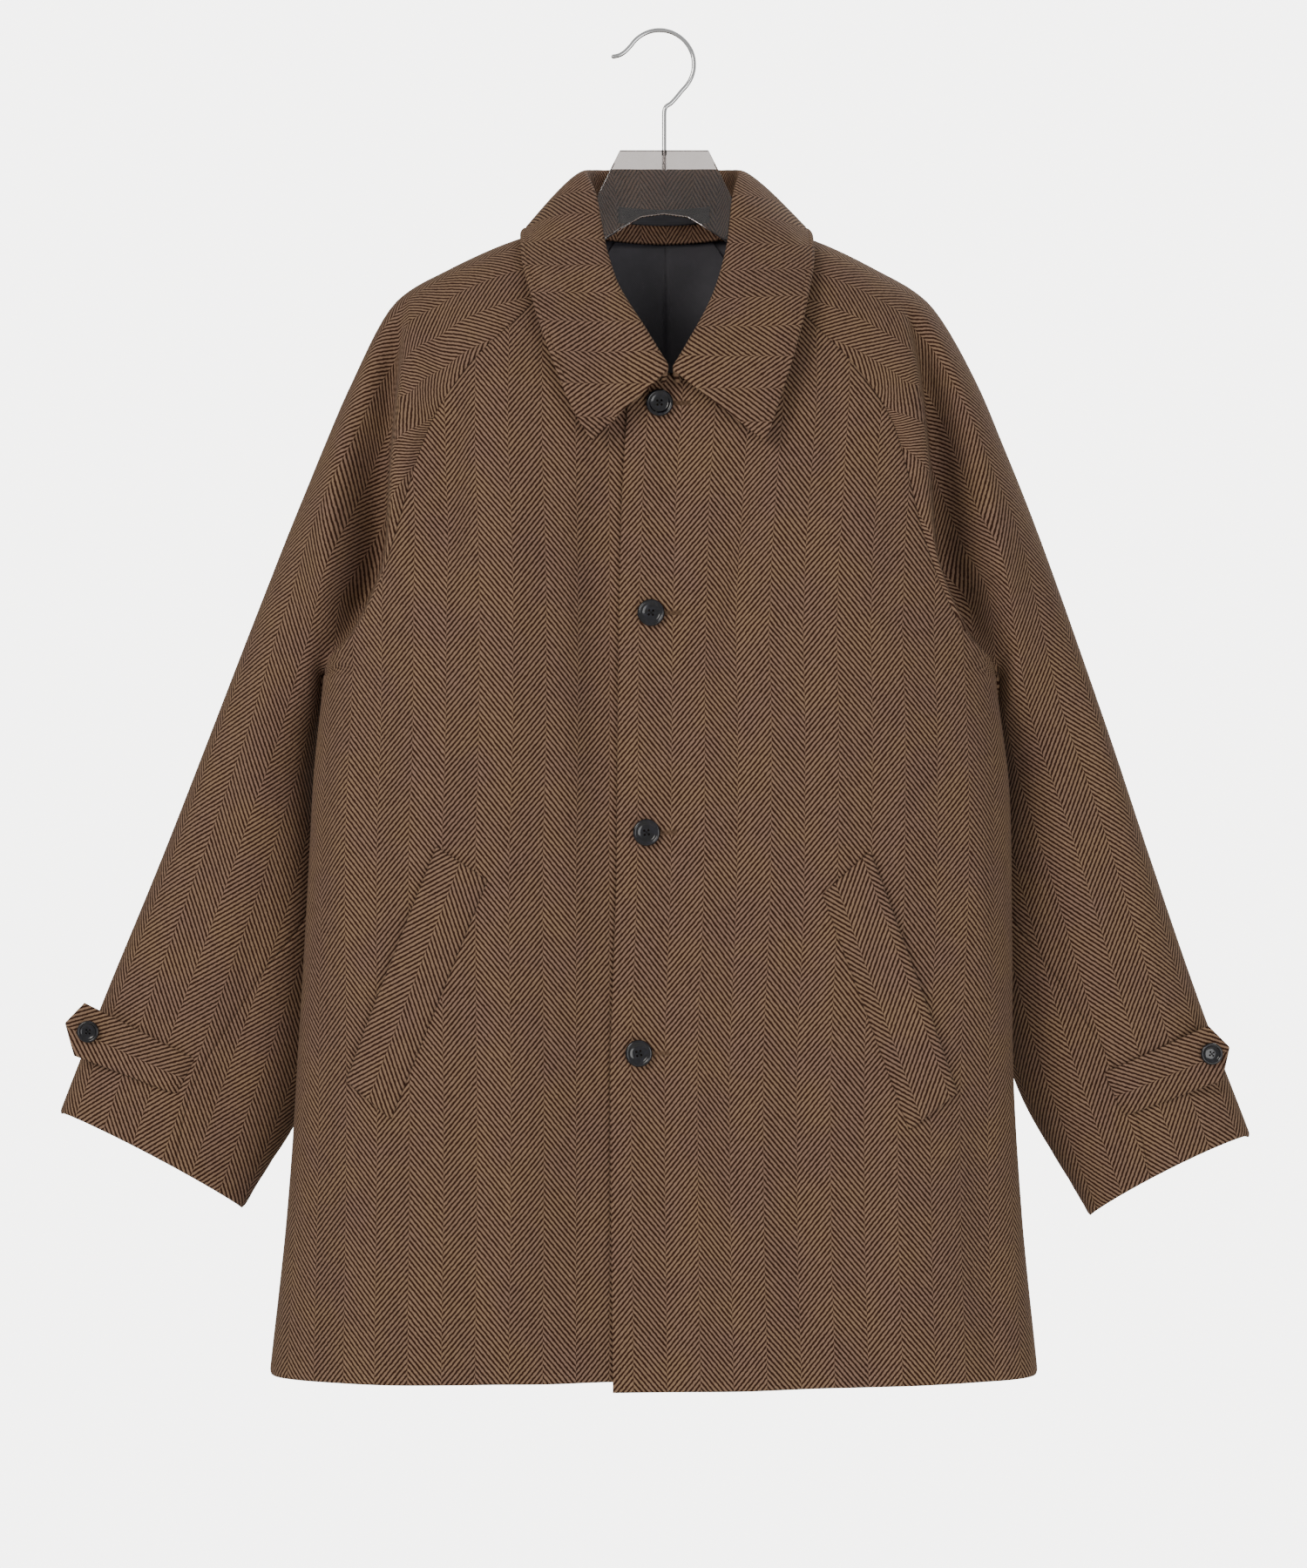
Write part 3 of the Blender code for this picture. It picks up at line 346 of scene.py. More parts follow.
# %% Front sizes
Edge = namedtuple("Edge", "z x")
FRONT_EDGE = (
    Edge(z=-0.284, x=-0.0235),
    Edge(z=-0.360, x=-0.0283),
    Edge(z=-0.485, x=-0.0313),
    Edge(z=-0.642, x=-0.0325),
    Edge(z=-0.795, x=-0.0370),
    Edge(z=-1.0255, x=-0.0350),
)
UNDER_EDGE_X = 0.020
UNDER_DEPTH = 0.0048
UNDER_EASE = 0.045
UNDER_FULL = 0.006
HEM_DIP = 0.0075
HEM_DIP_WIDTH = 0.26
NECK_MIDDLE = 0.0035
NECK_HALF = 0.0665
NECK_LOW = -0.271
NECK_HIGH = -0.172
FRONT_TOP = -0.178
print("the fronts overlap by", round(UNDER_EDGE_X - FRONT_EDGE[0].x, 3), "m at the top")

# %% [markdown]
# ## The sleeves' sections
# A raglan sleeve has no shoulder seam: it grows out of the collar, runs down over the shoulder and is
# joined to the body along a slanted line. Each row below is one cross-section, from the neck to the cuff:
# the outer edge (crest), the seam or inner edge, and how far the cloth bulges to the front and the back.

# %% Sleeve sizes
Cut = namedtuple("Cut", "crest_x crest_z seam_x seam_z crest_y seam_y front back lean")
SLEEVE_LEFT = (
    Cut(0.0710, -0.147, 0.0730, -0.1780, 0.000, 0.000, 0.016, 0.020, 0.008),
    Cut(0.1155, -0.159, 0.1040, -0.2165, 0.000, 0.000, 0.034, 0.034, 0.014),
    Cut(0.1650, -0.182, 0.1495, -0.2653, 0.000, 0.000, 0.046, 0.042, 0.020),
    Cut(0.2040, -0.206, 0.1755, -0.3066, 0.000, 0.000, 0.050, 0.044, 0.024),
    Cut(0.2430, -0.269, 0.1970, -0.3854, 0.001, 0.000, 0.056, 0.046, 0.030),
    Cut(0.2640, -0.318, 0.2105, -0.4250, 0.003, 0.000, 0.058, 0.046, 0.028),
    Cut(0.2835, -0.365, 0.2300, -0.4620, 0.006, 0.000, 0.060, 0.046, 0.018),
    Cut(0.3010, -0.410, 0.2565, -0.4950, 0.010, 0.000, 0.062, 0.046, 0.000),
    Cut(0.3405, -0.520, 0.2590, -0.5750, 0.016, 0.032, 0.058, 0.044, 0.026),
    Cut(0.3790, -0.635, 0.2550, -0.6800, 0.020, 0.036, 0.056, 0.042, 0.026),
    Cut(0.4160, -0.743, 0.2700, -0.7900, 0.020, 0.034, 0.052, 0.040, 0.016),
    Cut(0.4560, -0.849, 0.3320, -0.9110, 0.018, 0.022, 0.044, 0.038, 0.000),
)
SLEEVE_RIGHT = (
    Cut(0.0630, -0.147, 0.0660, -0.1780, 0.000, 0.000, 0.016, 0.020, 0.008),
    Cut(0.1085, -0.159, 0.0990, -0.2165, 0.000, 0.000, 0.034, 0.034, 0.014),
    Cut(0.1610, -0.182, 0.1470, -0.2653, 0.000, 0.000, 0.046, 0.042, 0.020),
    Cut(0.2010, -0.206, 0.1720, -0.3066, 0.000, 0.000, 0.050, 0.044, 0.024),
    Cut(0.2360, -0.269, 0.1975, -0.3854, 0.001, 0.000, 0.056, 0.046, 0.030),
    Cut(0.2575, -0.318, 0.2105, -0.4250, 0.003, 0.000, 0.058, 0.046, 0.028),
    Cut(0.2770, -0.365, 0.2300, -0.4620, 0.006, 0.000, 0.060, 0.046, 0.018),
    Cut(0.2960, -0.410, 0.2565, -0.4950, 0.010, 0.000, 0.062, 0.046, 0.000),
    Cut(0.3390, -0.520, 0.2610, -0.5750, 0.016, 0.024, 0.058, 0.044, 0.026),
    Cut(0.3845, -0.635, 0.2560, -0.6800, 0.020, 0.030, 0.056, 0.042, 0.026),
    Cut(0.4290, -0.743, 0.2600, -0.7850, 0.020, 0.034, 0.052, 0.040, 0.020),
    Cut(0.4630, -0.831, 0.3215, -0.9055, 0.018, 0.022, 0.040, 0.034, 0.000),
)
UNDERARM_ROW = 7
CUFF_ROW = 11
CUFF_RISE = {(1, "front"): 0.0105, (1, "back"): 0.0025, (-1, "front"): 0.0085, (-1, "back"): 0.0085}
BACK_NECK_RISE = 0.024
BACK_NECK_INSET = 0.019
BACK_NECK_ROWS = 3.0

Hollow = namedtuple("Hollow", "side face top_x top_z low_x low_z width depth")
SLEEVE_HOLLOWS = (
    Hollow(1, "front", 0.178, -0.215, 0.206, -0.430, 0.014, -0.0040),
    Hollow(1, "front", 0.262, -0.330, 0.268, -0.560, 0.020, -0.0050),
    Hollow(1, "front", 0.300, -0.430, 0.352, -0.720, 0.016, 0.0036),
    Hollow(1, "front", 0.330, -0.470, 0.395, -0.800, 0.014, -0.0030),
    Hollow(1, "front", 0.290, -0.620, 0.340, -0.880, 0.014, 0.0034),
    Hollow(1, "back", 0.205, -0.240, 0.252, -0.520, 0.018, 0.0100),
    Hollow(1, "back", 0.300, -0.430, 0.360, -0.760, 0.018, 0.0050),
    Hollow(1, "back", 0.300, -0.600, 0.350, -0.880, 0.016, -0.0040),
    Hollow(-1, "front", -0.285, -0.420, -0.320, -0.660, 0.022, -0.0040),
    Hollow(-1, "front", -0.300, -0.430, -0.370, -0.760, 0.014, 0.0032),
    Hollow(-1, "front", -0.290, -0.600, -0.345, -0.880, 0.016, 0.0032),
    Hollow(-1, "front", -0.178, -0.215, -0.204, -0.420, 0.013, -0.0040),
    Hollow(-1, "back", -0.205, -0.240, -0.255, -0.520, 0.018, 0.0100),
    Hollow(-1, "back", -0.300, -0.430, -0.365, -0.760, 0.018, 0.0050),
    Hollow(-1, "back", -0.300, -0.600, -0.350, -0.880, 0.016, -0.0040),
)
Drop = namedtuple("Drop", "z x depth")
SLEEVE_DROPS = {
    1: (
        Drop(-0.215, 0.184, 0.000),
        Drop(-0.270, 0.194, 0.026),
        Drop(-0.333, 0.201, 0.046),
        Drop(-0.398, 0.206, 0.055),
        Drop(-0.428, 0.215, 0.055),
        Drop(-0.463, 0.230, 0.042),
        Drop(-0.530, 0.250, 0.000),
    ),
    -1: (
        Drop(-0.205, 0.190, 0.000),
        Drop(-0.270, 0.195, 0.031),
        Drop(-0.343, 0.201, 0.050),
        Drop(-0.408, 0.205, 0.057),
        Drop(-0.435, 0.213, 0.055),
        Drop(-0.463, 0.224, 0.042),
        Drop(-0.520, 0.250, 0.000),
    ),
}
DROP_EDGE = 0.006
DROP_RUN = 0.010
DROP_SLOPE = 0.68
Share = namedtuple("Share", "row share")
FRONT_SEAM = (
    Share(row=7.0, share=1.00),
    Share(row=8.3, share=1.00),
    Share(row=9.0, share=0.82),
    Share(row=9.6, share=0.63),
    Share(row=10.4, share=0.53),
    Share(row=11.0, share=0.60),
)
print("sections in a sleeve:", len(SLEEVE_LEFT), "hollows in both:", len(SLEEVE_HOLLOWS))

# %% [markdown]
# ### The raglan seam
# The panels and the sleeves end on the same slanted line. It is worked out once, on the body's own faces,
# and both read it from here.

# %% Raglan seam


def cut(side, name, row):
    """A size of the sleeve's section at a row that need not be whole."""
    table = SLEEVE_LEFT if side > 0 else SLEEVE_RIGHT
    return smooth(np.arange(len(table)), column(table, name), row)


def seam_point(side, row, face):
    """A point of the raglan seam on the front or the back face."""
    x, z = float(cut(side, "seam_x", row)), float(cut(side, "seam_z", row))
    if face == "back":
        rise = max(0.0, 1 - row / BACK_NECK_ROWS) ** 2
        x -= BACK_NECK_INSET * rise
        z += BACK_NECK_RISE * rise
    y = front_y(side * x, z) if face == "front" else back_y(side * x, z)
    return np.array([side * x, float(y), z])


seam_rows = np.linspace(0, UNDERARM_ROW, 240)
RAGLAN = {
    (side, face): np.array([seam_point(side, row, face) for row in seam_rows])
    for side in (1, -1)
    for face in ("front", "back")
}


def raglan_x(side, face, z):
    """x of the raglan seam at height z."""
    seam = RAGLAN[side, face]
    return float(np.interp(-z, -seam[:, 2], seam[:, 0]))


print("raglan seam, wearer's left:", round(float(run_of(RAGLAN[1, "front"])[-1]), 3), "m long")

# %% [markdown]
# ### Grids of the fronts and the back
# Each panel is cut off at its own edges, level by level. Its weave map counts metres along the cloth, from
# the front edge on a front and from the middle on the back.

# %% Front and back panels
FRONT_COLUMNS = 72
BACK_COLUMNS = 110
BELOW_ROWS = 66
ABOVE_ROWS = 52
RISE_X = 0.1


def widened(values, count):
    """One value for each row, repeated along the row."""
    return np.repeat(values[:, None], count, 1)


def hem_rows(top, count):
    """Levels from the hem up to a level, close together by the hem."""
    first = HEM_Z + EDGE_STEPS
    return np.concatenate([first[:-1], np.linspace(first[-1], top, count)])


def front_panel(side):
    """Grid of one front, its weave map, and distances from its front edge, seam and hem."""
    lower = UNDERARM_Z + (NECK_LOW - UNDERARM_Z) * np.linspace(0, 1, ABOVE_ROWS // 2)
    upper = NECK_LOW + (FRONT_TOP - NECK_LOW) * np.linspace(0, 1, ABOVE_ROWS // 2) ** 2
    levels = np.concatenate([hem_rows(UNDERARM_Z, BELOW_ROWS)[:-1], lower, upper[1:]])
    lines, weave_starts = [], []
    for z in levels:
        edge = UNDER_EDGE_X
        if side > 0:
            edge = float(read_off(FRONT_EDGE, "z", "x", z))
        start = edge
        if z > NECK_LOW + 1e-6:
            drop = (z - NECK_HIGH) / (NECK_LOW - NECK_HIGH)
            start = NECK_MIDDLE + side * NECK_HALF * math.sqrt(max(0.0, 1 - drop * drop))
        stop = raglan_x(side, "front", z) if z > UNDERARM_Z else body("middle", z) + side * body("half", z)
        lines.append(level_line(z, start, stop, front_y, FRONT_POWER))
        weave_starts.append(abs(start - edge))
    points, starts, ends = sheet_of(lines, FRONT_COLUMNS)
    points = closing(side, points)
    rise = run_of(np.stack([front_y(side * RISE_X, levels), levels], axis=1))
    weave = np.stack([starts + np.array(weave_starts)[:, None], widened(rise, FRONT_COLUMNS)], axis=2)
    return points, weave, starts, ends, widened(levels - HEM_Z, FRONT_COLUMNS)


def closing(side, points):
    """The lower front steps back where the upper one covers it; the upper one's hem dips there."""
    points = points.copy()
    x, z = points[..., 0], points[..., 2]
    edge = read_off(FRONT_EDGE, "z", "x", z)
    if side > 0:
        low = ease((UNDERARM_Z - z) / (UNDERARM_Z - HEM_Z))
        points[..., 2] -= HEM_DIP * low * (1 - ease((x - edge) / HEM_DIP_WIDTH))
    else:
        points[..., 1] += UNDER_DEPTH * ease((x - edge + UNDER_EASE) / (UNDER_EASE - UNDER_FULL))
    return points


def back_panel():
    """Grid of the back from the wearer's left seam to the right one, its weave map and distances."""
    top = RAGLAN[1, "back"][0, 2]
    levels = np.concatenate([hem_rows(UNDERARM_Z, BELOW_ROWS)[:-1], np.linspace(UNDERARM_Z, top, ABOVE_ROWS)])
    lines = []
    for z in levels:
        ends = [body("middle", z) + side * body("half", z) for side in (1, -1)]
        if z > UNDERARM_Z:
            ends = [raglan_x(side, "back", z) for side in (1, -1)]
        lines.append(level_line(z, ends[0], ends[1], back_y, BACK_POWER, 241))
    points, starts, ends = sheet_of(lines, BACK_COLUMNS)
    middle = np.array([np.interp(-NECK_MIDDLE, -row[:, 0], run) for row, run in zip(points, starts)])
    rise = run_of(points[:, BACK_COLUMNS // 2])
    weave = np.stack([starts - middle[:, None], widened(rise, BACK_COLUMNS)], axis=2)
    return points, weave, starts, ends, widened(levels - HEM_Z, BACK_COLUMNS)


print("front grid:", front_panel(1)[0].shape[:2], "back grid:", back_panel()[0].shape[:2])

# %% [markdown]
# ### Grids of the sleeves
# Each half of a section is one smooth arc from the crest. Above the underarm it ends on the raglan seam and
# meets the body's face in its own direction. Below it the sleeve is a free tube. Near the underarm each
# section is averaged with its neighbours, so that the change is soft.

# %% Sleeve sections
SLEEVE_COLUMNS = (58, 74)
PROBE = 0.002
SPLIT_ROWS = 0.6
ROUND_ROWS = 1.5
INNER_LEAN = 0.35
SOFT_ROWS = 1.3
SOFT_LEAST = 0.002
SOFT_STEPS = (-0.9, -0.6, -0.3, 0.3, 0.6, 0.9)
CUFF_ROWS = 1.5
LEAD_REACH = 5


def plain_section(side, row, face):
    """One half of a sleeve section, from the crest to the seam or inner edge."""
    row = min(max(row, 0.0), CUFF_ROW)
    forward = np.array([0.0, -1.0 if face == "front" else 1.0, 0.0])
    crest = np.array([side * cut(side, "crest_x", row), cut(side, "crest_y", row), cut(side, "crest_z", row)])
    reach, lean = float(cut(side, face, row)), float(cut(side, "lean", row))
    if row <= UNDERARM_ROW:
        seam = seam_point(side, row, face)
        face_y = front_y if face == "front" else back_y
        inner = float(face_y(seam[0] - side * PROBE, seam[2]))
        arrive = -lean * unit(np.array([-side * PROBE, inner - seam[1], 0.0]))
    else:
        seam = np.array([side * cut(side, "seam_x", row), cut(side, "seam_y", row), cut(side, "seam_z", row)])
        seam[1] += (float(body("side_y", UNDERARM_Z)) - seam[1]) * (1 - ease((row - UNDERARM_ROW) / SPLIT_ROWS))
        away = np.array([side * INNER_LEAN * lean if face == "front" else 0.0, 0.0, 0.0])
        arrive = forward * reach * ease((row - UNDERARM_ROW) / ROUND_ROWS) + away
    return bezier(crest, crest + forward * reach, seam + arrive, seam)


def hollow_depth(side, face, x, z):
    """How far the sleeve's hollows sink at x, z."""
    total = np.zeros_like(x)
    for hollow in SLEEVE_HOLLOWS:
        if (hollow.side, hollow.face) != (side, face):
            continue
        down = np.clip((hollow.top_z - z) / (hollow.top_z - hollow.low_z), 0.0, 1.0)
        middle = hollow.top_x + (hollow.low_x - hollow.top_x) * down
        total += hollow.depth * np.sin(math.pi * down) * np.exp(-((x - middle) / hollow.width) ** 2)
    if face == "front":
        drops = SLEEVE_DROPS[side]
        off = side * x - read_off(drops, "z", "x", z)
        deep = read_off(drops, "z", "depth", z)
        total += deep * ease(off / DROP_EDGE) * (1 - ease((off - DROP_EDGE) / (DROP_RUN + DROP_SLOPE * deep)))
    return total


def half_section(side, row, face):
    """A half section, softened across the underarm, with its hollows and its raised cuff."""
    line = plain_section(side, row, face)
    t = np.linspace(0, 1, len(line))
    soft = math.exp(-((row - UNDERARM_ROW) / SOFT_ROWS) ** 2) * ease((1 - t) / 0.4)[:, None]
    if soft.max() > SOFT_LEAST:
        near = [plain_section(side, row + step, face) for step in SOFT_STEPS]
        line = line * (1 - soft) + sum(near) / len(near) * soft
    sink = hollow_depth(side, face, line[:, 0], line[:, 2]) * ease((1 - t) / 0.10) * ease(t / 0.15)
    line[:, 1] += sink if face == "front" else -sink
    line[:, 2] += CUFF_RISE[side, face] * ease((row - CUFF_ROW + CUFF_ROWS) / CUFF_ROWS) * np.sin(math.pi * t)
    return line


def part_of(line, first, last, count=121):
    """The part of a line between two shares of it."""
    at = np.linspace(first, last, count) * (len(line) - 1)
    return points_at(line, np.arange(len(line)), at)


def sleeve_lines(row, front, back):
    """The front piece's and the back piece's line at one row, each starting on the crest."""
    share = float(read_off(FRONT_SEAM, "row", "share", row))
    if row <= UNDERARM_ROW or share > 0.999:
        return front, back
    return part_of(front, 0, share), np.concatenate([back, part_of(front, share, 1)[:-1][::-1]])


def flat_map(points):
    """Weave map of a sheet laid flat from its first column, whose direction the cloth's length follows."""
    lead = unit(np.gradient(points[:, 0], axis=0))
    lead = np.stack([evened(values, LEAD_REACH) for values in lead.T], axis=1)
    steps = np.diff(points, axis=1)
    down = np.sum(steps * unit(lead)[:, None], axis=2)
    aside = np.sqrt(np.maximum(np.sum(steps * steps, axis=2) - down * down, 0.0))
    u = np.pad(np.cumsum(aside, axis=1), ((0, 0), (1, 0)))
    v = run_of(points[:, 0])[:, None] + np.pad(np.cumsum(down, axis=1), ((0, 0), (1, 0)))
    return np.stack([u, -v], axis=2)


def sleeve_panels(side):
    """For the front and the back piece: grid, weave map, and distances from crest, seam and cuff."""
    middles = [half_section(side, row, "front")[60] for row in (CUFF_ROW, CUFF_ROW - 1)]
    last = float(np.linalg.norm(middles[0] - middles[1]))
    cuff = CUFF_ROW - EDGE_STEPS[::-1] / last
    rows = np.concatenate([np.linspace(0, UNDERARM_ROW, 52)[:-1], np.linspace(UNDERARM_ROW, cuff[0], 66), cuff[1:]])
    halves = []
    for face in ("front", "back"):
        half = np.array([half_section(side, row, face) for row in rows])
        halves.append(np.concatenate([half, flat_map(half)], axis=2))
    pairs = [sleeve_lines(row, front, back) for row, front, back in zip(rows, *halves)]
    panels = []
    for part in (0, 1):
        mapped, starts, ends = sheet_of([pair[part] for pair in pairs], SLEEVE_COLUMNS[part])
        points, weave = mapped[..., :3], mapped[..., 3:]
        panels.append((points, weave, starts, ends, widened((CUFF_ROW - rows) * last, SLEEVE_COLUMNS[part])))
    return panels


sleeves = {side: sleeve_panels(side) for side in (1, -1)}
print("sleeve grids:", [panel[0].shape[:2] for panel in sleeves[1]])

# %% [markdown]
# ## The collar band
# The collar is one folded band: a stand that goes up from the neck seam, a roll, and a leaf that turns
# down over the coat and ends in two points. Each row of the table is one section of the band, from the
# wearer's right front round the back of the neck to the left front.

# %% Collar sizes
Band = namedtuple("Band", "seam roll edge")
COLLAR_BAND = (
    Band((0.0050, -0.070, -0.2790), (0.0078, -0.0955, -0.2665), (-0.0515, -0.0885, -0.3212)),
    Band((-0.0270, -0.062, -0.2640), (-0.0095, -0.0865, -0.2375), (-0.0645, -0.0870, -0.3000)),
    Band((-0.0440, -0.052, -0.2360), (-0.0330, -0.0650, -0.1965), (-0.0780, -0.0830, -0.2680)),
    Band((-0.0540, -0.038, -0.2000), (-0.0422, -0.0450, -0.1650), (-0.0940, -0.0640, -0.2220)),
    Band((-0.0570, -0.022, -0.1640), (-0.0500, -0.0170, -0.1250), (-0.1050, -0.0400, -0.1770)),
    Band((-0.0565, 0.008, -0.1460), (-0.0580, 0.0120, -0.1045), (-0.1065, 0.0080, -0.1530)),
    Band((-0.0380, 0.040, -0.1540), (-0.0410, 0.0440, -0.0990), (-0.0800, 0.0600, -0.1600)),
    Band((0.0035, 0.0405, -0.1570), (0.0035, 0.0520, -0.0975), (0.0035, 0.0770, -0.1680)),
    Band((0.0450, 0.040, -0.1540), (0.0480, 0.0440, -0.0990), (0.0880, 0.0600, -0.1600)),
    Band((0.0635, 0.008, -0.1460), (0.0630, 0.0120, -0.1045), (0.1165, 0.0080, -0.1530)),
    Band((0.0640, -0.022, -0.1640), (0.0575, -0.0170, -0.1250), (0.1173, -0.0400, -0.1770)),
    Band((0.0610, -0.038, -0.2000), (0.0525, -0.0450, -0.1640), (0.1110, -0.0640, -0.2160)),
    Band((0.0510, -0.052, -0.2360), (0.0413, -0.0650, -0.2050), (0.1000, -0.0830, -0.2580)),
    Band((0.0340, -0.062, -0.2640), (0.0232, -0.0865, -0.2420), (0.0900, -0.0870, -0.2900)),
    Band((0.0110, -0.070, -0.2790), (0.0084, -0.0955, -0.2675), (0.0790, -0.0885, -0.3228)),
)
LAST_PLACE = len(COLLAR_BAND) - 1
BACK_PLACE = LAST_PLACE / 2
PLACE_LENGTH = 0.026
COLLAR_THICK = 0.0040
NECK_CENTRE_Y = -0.010
ROLL_HANDLE = 0.010
LEAF_BOW = 0.005
LEAF_CLEAR = 0.0012
BACK_STAND_OFF = 0.0015
FRONT_STAND_OFF = 0.0110
ROLL = 30
BAND_COLUMNS = 64
BAND_SECTIONS = 150
print("collar sections in the table:", len(COLLAR_BAND))

# %% [markdown]
# ### The collar's grid and its weave
# The leaf is lifted clear of the cloth below it. A band that turns round the neck can't be laid flat, so its
# weave map is fitted: each value rises as evenly as the band's form allows.

# %% Collar grid


def collar_sections(places):
    """Sections of the band, each from the stand's seam over the roll to the leaf's edge."""
    marks = {}
    for name in Band._fields:
        table = np.array([getattr(row, name) for row in COLLAR_BAND])
        knots = np.arange(len(COLLAR_BAND))
        marks[name] = np.stack([smooth(knots, table[:, i], places) for i in range(3)], axis=1)
    sections = []
    for seam, roll, edge in zip(marks["seam"], marks["roll"], marks["edge"]):
        out = unit(roll - np.array([NECK_MIDDLE, NECK_CENTRE_Y, roll[2]]))
        stand = bezier(seam, seam + (roll - seam) * 0.5, roll - out * ROLL_HANDLE * 0.6, roll, 31)
        bow = edge + (roll - edge) * 0.45 + out * LEAF_BOW
        sections.append(np.concatenate([stand[:-1], bezier(roll, roll + out * ROLL_HANDLE, bow, edge, 61)]))
    return np.array(sections)


def even_values(points, aim, care):
    """Values on a grid that rise by one a metre along aim, as evenly as the sheet's form allows."""
    heft_rows = care[1:] / np.linalg.norm(np.diff(points, axis=0), axis=2)
    heft_columns = care[:, 1:] / np.linalg.norm(np.diff(points, axis=1), axis=2)
    want_rows = np.sum(np.diff(points, axis=0) * (aim[1:] + aim[:-1]) / 2, axis=2)
    want_columns = np.sum(np.diff(points, axis=1) * (aim[:, 1:] + aim[:, :-1]) / 2, axis=2)

    def gathered(rows, columns):
        rows, columns = rows * heft_rows, columns * heft_columns
        total = np.pad(rows, ((1, 0), (0, 0))) - np.pad(rows, ((0, 1), (0, 0)))
        return total + np.pad(columns, ((0, 0), (1, 0))) - np.pad(columns, ((0, 0), (0, 1)))

    values = np.zeros(points.shape[:2])
    rest = gathered(want_rows, want_columns)
    search, size = rest.copy(), np.sum(rest * rest)
    for _ in range(1500):
        push = gathered(np.diff(search, axis=0), np.diff(search, axis=1))
        step = size / np.sum(search * push)
        values += step * search
        rest -= step * push
        size, before = np.sum(rest * rest), size
        if size < 1e-12:
            break
        search = rest + search * size / before
    return values


def collar_map(points, places, past_roll):
    """Weave map of the band: its columns stand upright at the back and lie level on the front leaves."""
    level = ease((np.abs(places - BACK_PLACE) - 1.4) / 1.6)[:, None, None]
    upright = np.where(places < BACK_PLACE, 1.0, -1.0)[:, None, None] * np.array([0.0, 0.0, 1.0])
    aim = unit(np.gradient(points, axis=0)) * (1 - level) + upright * level
    facing = unit(np.cross(np.gradient(points, axis=1), np.gradient(points, axis=0)))
    aim = unit(aim - facing * np.sum(aim * facing, axis=2, keepdims=True))
    care = 0.03 + 0.97 * ease((past_roll + 0.010) / 0.006)
    across = even_values(points, aim, care)
    across -= across[len(points) // 2, ROLL]
    return np.stack([across, even_values(points, np.cross(facing, aim), care)], axis=2)


def lifted(points, ground, facing, clear):
    """Points moved out until each is clear of the cloth below it."""
    flat = points.reshape(-1, 3).copy()
    for i, point in enumerate(flat):
        nearest = np.argmin(np.sum((ground - point) ** 2, axis=1))
        height = np.dot(point - ground[nearest], facing[nearest])
        flat[i] += facing[nearest] * max(0.0, clear[i] - height)
    return flat.reshape(points.shape)


def collar_band(ground, facing):
    """Grid of the collar (rows along the band), its weave map and distances."""
    tips = EDGE_STEPS / PLACE_LENGTH
    inside = np.linspace(tips[-1], LAST_PLACE - tips[-1], BAND_SECTIONS)
    places = np.concatenate([tips[:-1], inside, LAST_PLACE - tips[-2::-1]])
    lines = collar_sections(places)
    points, starts, ends = sheet_of(lines, BAND_COLUMNS)
    leaf = BAND_COLUMNS // 2
    stand_off = BACK_STAND_OFF + FRONT_STAND_OFF * ease((np.abs(places - BACK_PLACE) - 2.5) / 2.0)
    clear = np.repeat(COLLAR_THICK + LEAF_CLEAR + stand_off, BAND_COLUMNS - leaf)
    lift = lifted(points[:, leaf:], ground, facing, clear) - points[:, leaf:]
    for _ in range(10):
        lift[1:-1] += 0.25 * (lift[2:] + lift[:-2] - 2 * lift[1:-1])
    points[:, leaf:] += lift
    tip = widened(np.minimum(np.abs(places), np.abs(LAST_PLACE - places)) * PLACE_LENGTH, BAND_COLUMNS)
    past_roll = starts - np.array([[run_of(line)[ROLL]] for line in lines])
    return points, collar_map(points, places, past_roll), starts, ends, tip


print("points in a section of the collar:", collar_sections(np.array([BACK_PLACE])).shape[1])

# %% [markdown]
# ## Materials
# Each material starts from what the real one is. One helper adds a node with its settings and links, so
# a recipe reads from top to bottom. Colours are written as sRGB hex values, the way a picture shows
# them, and turned to the linear light that Blender works in.

# %% Material helpers


def linear(hex_colour):
    """An sRGB hex colour as linear RGBA."""
    parts = [int(hex_colour[i:i + 2], 16) / 255 for i in (1, 3, 5)]
    return (*[c / 12.92 if c <= 0.04045 else ((c + 0.055) / 1.055) ** 2.4 for c in parts], 1.0)


def node(tree, kind, links=None, out=0, **settings):
    """Add one node: settings by name, and for each input a value or another node's output. Gives its output out."""
    made = tree.nodes.new("ShaderNode" + kind)
    for name, value in settings.items():
        setattr(made, name, value)
    for socket, value in (links or {}).items():
        if isinstance(value, bpy.types.NodeSocket):
            tree.links.new(value, made.inputs[socket])
        else:
            made.inputs[socket].default_value = value
    return made.outputs if out is None else made.outputs[out]


def finish_of(name, **sockets):
    """A new material, its node tree and its shader with these constant values."""
    material = bpy.data.materials.new(name)
    material.use_nodes = True
    shader = material.node_tree.nodes["Principled BSDF"]
    for socket, value in sockets.items():
        shader.inputs[socket.replace("_", " ")].default_value = value
    return material, material.node_tree, shader


print("tan yarn in linear light:", [round(v, 3) for v in linear("#91765D")[:3]])

# %% [markdown]
# ### Herringbone wool
# Milled woollen cloth in two yarns, tan and dark brown. The twill lines lean one way for 25 mm and then
# the other way, with a half step between, so the columns look like a fish's bones. The cloth is brushed,
# which gives it a dull face and a soft light rim (sheen) where it turns away. The pattern is drawn on the
# weave map, whose units are metres on the cloth, so it follows every panel.

# %% Herringbone wool
COLUMN = 0.0252
LINE_ACROSS = 0.00385
LINE_UP = 0.00465
YARN = 0.0009


